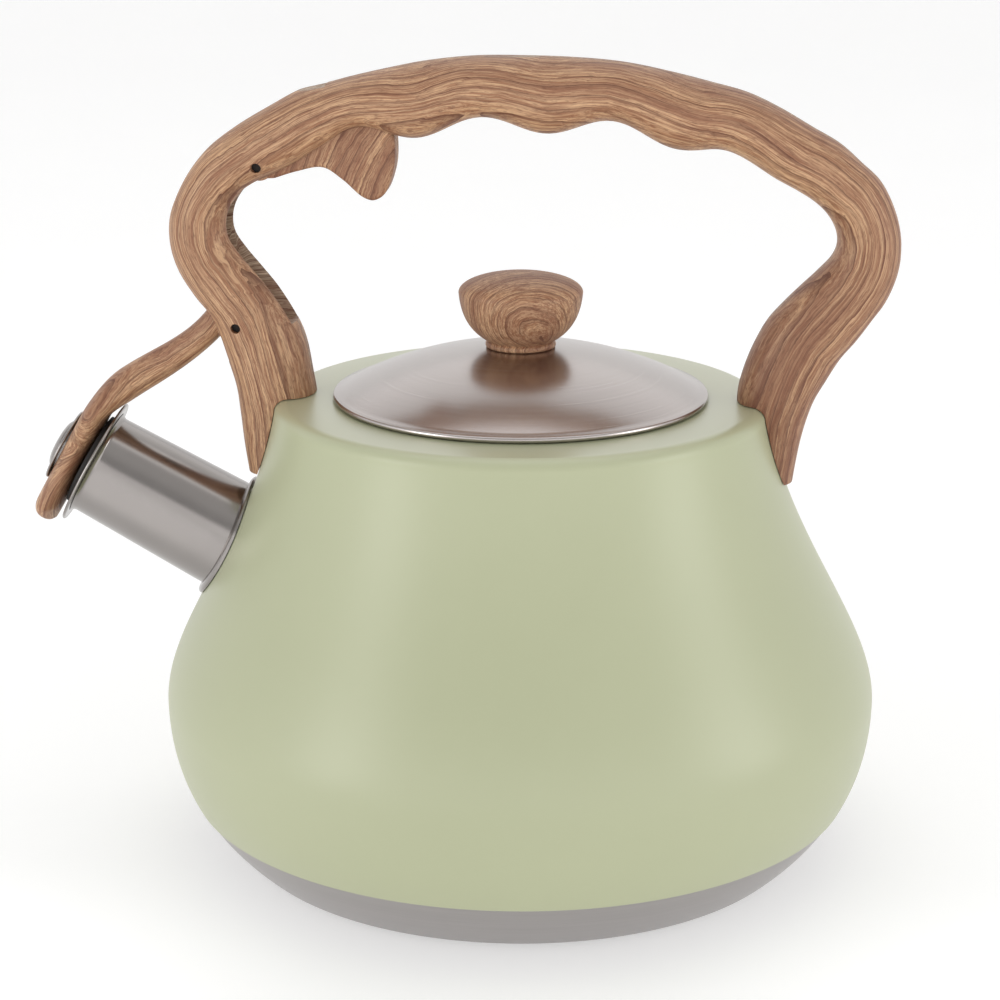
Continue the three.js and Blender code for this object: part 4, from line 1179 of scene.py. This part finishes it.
def refined(made, size):
    """Splits big flat faces so that the grain written at their points stays true."""
    work = bmesh.new()
    work.from_mesh(made.data)
    bmesh.ops.triangulate(work, faces=[f for f in work.faces if len(f.verts) > 4])
    for _ in range(3):
        long_edges = [e for e in work.edges if e.calc_length() > 3 * size * MM]
        if not long_edges:
            break
        bmesh.ops.subdivide_edges(work, edges=long_edges, cuts=1)
        bmesh.ops.triangulate(work, faces=[f for f in work.faces if len(f.verts) > 4])
    work.to_mesh(made.data)
    work.free()
    made.data.update()


def pad_point(up):
    return ROOT + AXIS * PAD_MIDDLE + ACROSS * up


def lever_rings(arm_steps, pad_steps):
    end = pad_point(PAD_ABOVE)
    pin = np.array([LEVER_X, LEVER_Z])
    controls = [pin + (-4.5, 3.6), pin + (-15.5, -12.5), end + ACROSS * 14, end]
    line = bezier(controls, arm_steps + 1)
    along = np.gradient(line, axis=0)
    along /= np.linalg.norm(along, axis=1)[:, None]
    rings = []
    for i in range(arm_steps):
        t = i / arm_steps
        widen, thicken, thin = smooth(t, 0.45, 1), smooth(t, 0.15, 0.6), smooth(t, *ARM_THINS)
        half = ARM_HALF + 0.7 * thicken - (ARM_HALF + 0.7 - PAD / 2) * thin
        depth = SIDE + (PAD_HALF * 0.8 - SIDE) * widen
        rings.append((line[i], (-along[i][1], along[i][0]), float(half), float(depth)))
    inward = np.array([ACROSS[1], -ACROSS[0]])
    for i in range(pad_steps + 1):
        up = PAD_ABOVE - (PAD_ABOVE + PAD_BELOW) * i / pad_steps
        from_round = max(0, PAD_HALF - PAD_BELOW - up) / PAD_HALF
        tip = min(1, math.sqrt(max(0, 1 - from_round**2)) + 0.22)
        shoulder = smooth(up, 2, PAD_ABOVE + 4)
        from_tip = min(1, (up + PAD_BELOW) / PAD_TIP)
        half = PAD / 2 * (0.45 + 0.55 * math.sqrt(max(0, 1 - (1 - from_tip) ** 2)))
        centre = pad_point(up) + inward * (PAD / 2 - half)
        rings.append((centre, tuple(inward), half, PAD_HALF * (1 - 0.2 * float(shoulder)) * tip))
    return rings


def finger_directions():
    """Along the lever's finger, and to its right."""
    angle = math.pi / 2 + HALF_SWING
    up = np.array([math.cos(angle), math.sin(angle)])
    return up, np.array([up[1], -up[0]])


def lever_piece():
    rings = lever_rings(60, 80)
    made = lofted("lever_arm_and_pad", rings, 64, within="spout_lever")
    up, right = finger_directions()
    top = REACH + 3.6
    corners = [
        (2, 0),
        (2, FINGER_WIDTH),
        (top - 1.2, FINGER_WIDTH),
        (top, FINGER_WIDTH - 1.2),
        (top, 1),
        (top - 1, 0),
    ]
    pin = np.array([LEVER_X, LEVER_Z])
    finger = [tuple(pin + up * a + right * (b - FINGER_OFFSET)) for a, b in corners]
    joined(
        made,
        rod("hub", LEVER_HUB, -SIDE, SIDE, LEVER_X, LEVER_Z, 64),
        pressed("finger", finger, -FINGER_HALF, FINGER_HALF),
    )
    cut(
        made,
        rod("bore", PIN + 0.08, -10, 10, LEVER_X, LEVER_Z),
        rod("room", SPRING_ROOM, SPRING_SIDE, 10, LEVER_X, LEVER_Z, 64),
        spout_rod(BORE, PAD_FACE - 10, PAD_FACE + 20),
    )
    facing_out(made.data)
    painted(made, WOOD_LEVER)
    lever_grain(made, rings)
    return shaded(rounded(made, 0.3, 2, 50), 45)


def lever_grain(made, rings):
    """Along the arm, and in long rings round a knot low in the pad."""
    co = points_of(made)
    flat = co[:, [0, 2]] - ROOT
    up, out = flat @ ACROSS, flat @ AXIS
    centre = np.array([r[0] for r in rings])
    length = np.concatenate([[0], np.cumsum(np.linalg.norm(np.diff(centre, axis=0), axis=1))])
    near = ((co[:, None, [0, 2]] - centre[None]) ** 2).sum(2).argmin(1)
    across = np.array([r[1] for r in rings])
    off = ((co[:, [0, 2]] - centre[near]) * across[near]).sum(1)
    knot = np.hypot(up + 9, (out - PAD_FACE + 5) * 1.5) + 0.5 * np.abs(co[:, 1])
    turn = np.arctan2(out - PAD_FACE + 5, up + 9) * 8
    mix = smooth(up, 4, 15)
    values = np.stack(
        [
            turn * (1 - mix) + (length[near] + 30) * mix,
            knot * (1 - mix) + (off + 0.4 * co[:, 1] + 22) * mix,
            0.4 * co[:, 1],
        ],
        1,
    )
    write_grain(made, values)


def lever_spring():
    up, right = finger_directions()
    wire, coil, turns = 0.5, 3.9, 2.75
    leg_side = FINGER_WIDTH - FINGER_OFFSET + wire + 0.25
    start_y = SPRING_SIDE + 0.3 + wire
    pitch = 2 * wire + 0.08
    begin = HALF_SWING + 0.35
    finish = begin - turns * 2 * math.pi
    points = []
    for reach in (13, 5.5):
        p = up * reach + right * leg_side
        points.append((p[0], start_y, p[1]))
    steps = 140
    for i in range(steps + 1):
        a = begin + (finish - begin) * i / steps
        points.append((coil * math.cos(a), start_y + pitch * turns * i / steps, coil * math.sin(a)))
    away = np.array([math.cos(finish - math.pi / 2), math.sin(finish - math.pi / 2)])
    x, y, z = points[-1]
    points.append((x + away[0] * 3.2, y, z + away[1] * 3.2))
    points = [(LEVER_X + x, y, LEVER_Z + z) for x, y, z in points]
    made = run_tree("return_spring", WIRE, points, {"Radius": wire * MM, "Material": DULL})
    return shaded(made, 50)


# Whistle.


def whistle_cap():
    face = PAD_FACE + PAD + GAP
    wall = BORE - SEAT
    dome = bezier([(7.4, face + 0.9), (6.6, face + 2.2), (4.2, face + 2.6), (1.9, face + 2.6)], 14)
    lip = arc((1.9, face + 2.3), 0.3, 90, 270, 6)
    hollow = [(1.9, face + 2.0), (4.0, face + 2.0), (6.0, face + 1.6), (wall - 0.7, face + 0.2)]
    under = bezier(hollow, 12)
    profile = [
        (wall, face - 5),
        (wall, face),
        (10.2, face),
        *arc((10.1, face + 0.4), 0.4, -90, 90, 8),
        (8.2, face + 0.85),
        (7.8, face + 0.75),
        *dome,
        *lip,
        *under,
        (wall - 0.7, face - 5),
    ]
    cap = turned("whistle_outer", profile, BRIGHT, 96)
    return shaded(placed(cap, SPOUT), 40)


def whistle_plate():
    wall = BORE - SEAT - 0.75
    bottom = PAD_FACE + 1.2
    profile = [
        (1.6, bottom),
        (wall - 0.6, bottom),
        *arc((wall - 0.6, bottom + 0.6), 0.6, -90, 0, 6),
        (wall, bottom + 5.2),
        (wall - 0.6, bottom + 5.2),
        (wall - 0.6, bottom + 0.9),
        (wall - 0.9, bottom + 0.6),
        (1.6, bottom + 0.6),
    ]
    plate = turned("whistle_inner", profile, BRIGHT, 96)
    return shaded(placed(plate, SPOUT), 40)


def gasket():
    near = SPOUT_LENGTH + 0.2
    outer = arc((GASKET_RADIUS - 0.5, near + 0.7), 0.7, -90, 90, 10)
    outer[:, 0] = np.minimum(outer[:, 0], GASKET_RADIUS)
    profile = [(8.6, near), (9.2, near), *outer, (9.2, near + GASKET), (8.6, near + GASKET)]
    ring = turned("mouth_gasket", profile, RUBBER, 96)
    return shaded(placed(ring, SPOUT), 40)


# Putting the kettle together.

WOOD_HANDLE = wood_print("printed wood grain on the handle", 2.0, dark=0.42, dark_end=(270, 340))
# The slot's walls get a lighter copy of the handle's wood print: painted light that offsets the
# shade in the recess.
WOOD_SLOT_WITH_PAINTED_LIGHT = wood_print(
    "printed wood grain in the slot, lightened as painted light", 4.0, 65, 0.5, tan=(206, 184, 158), brown=(140, 116, 94)
)
WOOD_TRIGGER = wood_print("printed wood grain on the trigger", 9.0, dark=0.75, stretch=2.0)
WOOD_LEVER = wood_print("printed wood grain on the lever", 5.0, dark=0.5, stretch=1.5)
WOOD_KNOB = wood_print("printed wood grain on the knob", 13.0, dark=0.6, stretch=1.5)


def knob_with_grain():
    made = knob()
    grain_round(made, 7.0, KNOB_BASE + 3.0, 0.85, 0.25)
    return made


PIECES = [
    (body_shell, "kettle", "body_shell", "paint"),
    (base_pan, "kettle", "base_pan", "brushed_steel"),
    (base_cover, "kettle", "base_cover", "brushed_steel"),
    (spout_tube, "kettle", "spout_tube", "polished_steel"),
    (mouth_ring, "kettle", "spout_mouth_ring", "polished_steel"),
    (collar, "kettle", "spout_collar", "polished_steel"),
    (handle_body, "kettle", "handle", "wood_grain_plastic"),
    (lid_dome, "lid", "lid_dome", "brushed_steel"),
    (lid_skirt, "lid", "lid_skirt", "plain_steel"),
    (knob_with_grain, "lid", "lid_knob", "wood_grain_plastic"),
    (trigger_piece, "trigger", "trigger", "wood_grain_plastic"),
    (lever_piece, "spout_lever", "spout_lever", "wood_grain_plastic"),
    (whistle_cap, "spout_lever", "whistle_cap", "polished_steel"),
    (whistle_plate, "spout_lever", "whistle_plate", "polished_steel"),
    (gasket, "spout_lever", "whistle_gasket", "silicone"),
]

for make, body, node, slot in PIECES:
    piece = make()
    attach(piece, body)
    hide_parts(node)

spring = lever_spring()
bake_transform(spring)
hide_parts("lever_spring")

KEPT = {
    "base_core": ALUMINIUM,
    "trigger_pin": PIN_STEEL,
    "lever_pin": PIN_STEEL,
    "handle_bracket_left": DULL,
    "handle_bracket_right": DULL,
    "handle_screw_left": DULL,
    "handle_screw_right": DULL,
    "knob_insert": BRASS,
    "knob_washer": DULL,
    "knob_screw": DULL,
}
for node, material in KEPT.items():
    painted(frame["nodes"][node], material)


# Camera, floor and light.


def camera():
    """Stands a little to the right of the handle's side view and looks slightly down."""
    distance, rise, turn = 0.720, math.radians(16.45), math.radians(4.5)
    aim, sideways = 0.0991, 0.0057
    level = math.cos(rise)
    back = Vector((math.sin(turn) * level, -math.cos(turn) * level, math.sin(rise)))
    right = Vector((math.cos(turn), math.sin(turn), 0))
    up = back.cross(right)
    data = bpy.data.cameras.new("camera")
    data.lens = 92.34
    data.sensor_width = 36
    data.clip_start = 0.05
    made = bpy.data.objects.new("camera", data)
    bpy.context.scene.collection.objects.link(made)
    place = Vector((0, 0, aim)) + back * distance - right * sideways
    turned_to = Matrix((right, up, back)).transposed().to_4x4()
    made.matrix_world = Matrix.Translation(place) @ turned_to
    bpy.context.scene.camera = made


def floor():
    """A pale sheet that is flat under the kettle and rises far away on every side."""
    rings, count = 48, 96
    vertices, faces = [(0, 0, 0)], []
    for i in range(1, rings + 1):
        radius = 3200 * (i / rings) ** 1.5
        height = 1500 * float(smooth(radius, 1500, 3200)) ** 1.6
        for j in range(count):
            a = 2 * math.pi * j / count
            vertices.append((radius * math.cos(a), radius * math.sin(a), height))
    for j in range(count):
        faces.append((0, 1 + j, 1 + (j + 1) % count))
    for i in range(rings - 1):
        for j in range(count):
            k = (j + 1) % count
            a, b = 1 + i * count, 1 + (i + 1) * count
            faces.append((a + j, b + j, b + k, a + k))
    made = mesh_object("studio_floor", vertices, faces)
    made.data.shade_smooth()
    r = Recipe("pale studio sheet with painted pools of light", Roughness=0.9, Emission_Strength=1.0)
    x, y, z = r.place()
    paper = r.noise(x * 0.01, y * 0.01, z * 0.01, 2)
    # The sheet glows evenly, and brighter in two patches in front to the left and right: painted
    # pools of light that show in the kettle's belly as reflections.
    painted_light_patches = (x * x).sqrt().above(30, 190) * (0 - y).above(20, 150)
    glow = r.mixed(painted_light_patches, (0.44, 0.44, 0.44), (0.8, 0.8, 0.8))
    made.data.materials.append(
        r.set(Base_Color=r.mixed(paper, (0.6, 0.6, 0.6), (0.62, 0.62, 0.62)), Emission_Color=glow)
    )


def softbox(name, place, target, size, power, sheen_only=False):
    data = bpy.data.lights.new(name, "AREA")
    data.shape = "RECTANGLE"
    data.size, data.size_y = size
    data.energy = power
    made = bpy.data.objects.new(name, data)
    made.visible_diffuse = not sheen_only
    bpy.context.scene.collection.objects.link(made)
    made.location = place
    made.rotation_euler = (Vector(target) - Vector(place)).to_track_quat("-Z", "Y").to_euler()


def sky():
    """A white tent that is open, and so darker, on the side that the camera stands on."""
    world = bpy.data.worlds.new("studio")
    bpy.context.scene.world = world
    world.use_nodes = True
    tree = world.node_tree
    background = tree.nodes["Background"]
    direction = tree.nodes.new("ShaderNodeTexCoord")
    parts = tree.nodes.new("ShaderNodeSeparateXYZ")
    tree.links.new(direction.outputs["Generated"], parts.inputs[0])
    total = tree.nodes.new("ShaderNodeMath")
    opening, back = (-0.98, -0.55, 0.4, 0.72), (0.3, 0.95, 0.0, 0.5)
    for slot, values in enumerate((opening, back)):
        ramp = tree.nodes.new("ShaderNodeMapRange")
        ramp.interpolation_type = "SMOOTHSTEP"
        tree.links.new(parts.outputs[1], ramp.inputs[0])
        for i, value in enumerate(values, 1):
            ramp.inputs[i].default_value = value
        tree.links.new(ramp.outputs[0], total.inputs[slot])
    background.inputs[0].default_value = (1, 0.995, 0.99, 1)
    tree.links.new(total.outputs[0], background.inputs[1])


camera()
floor()
sky()
softbox("left softbox", (-1.2, -0.9, 0.45), (0, 0, 0.09), (0.55, 0.9), 5.0, True)
softbox("right softbox", (1.35, -0.35, 0.4), (0, 0, 0.09), (0.6, 0.8), 4.0, True)
softbox("top softbox", (0.0, 0.2, 1.4), (0, 0, 0.1), (1.4, 1.0), 3.0)
bpy.context.scene.view_settings.view_transform = "Standard"
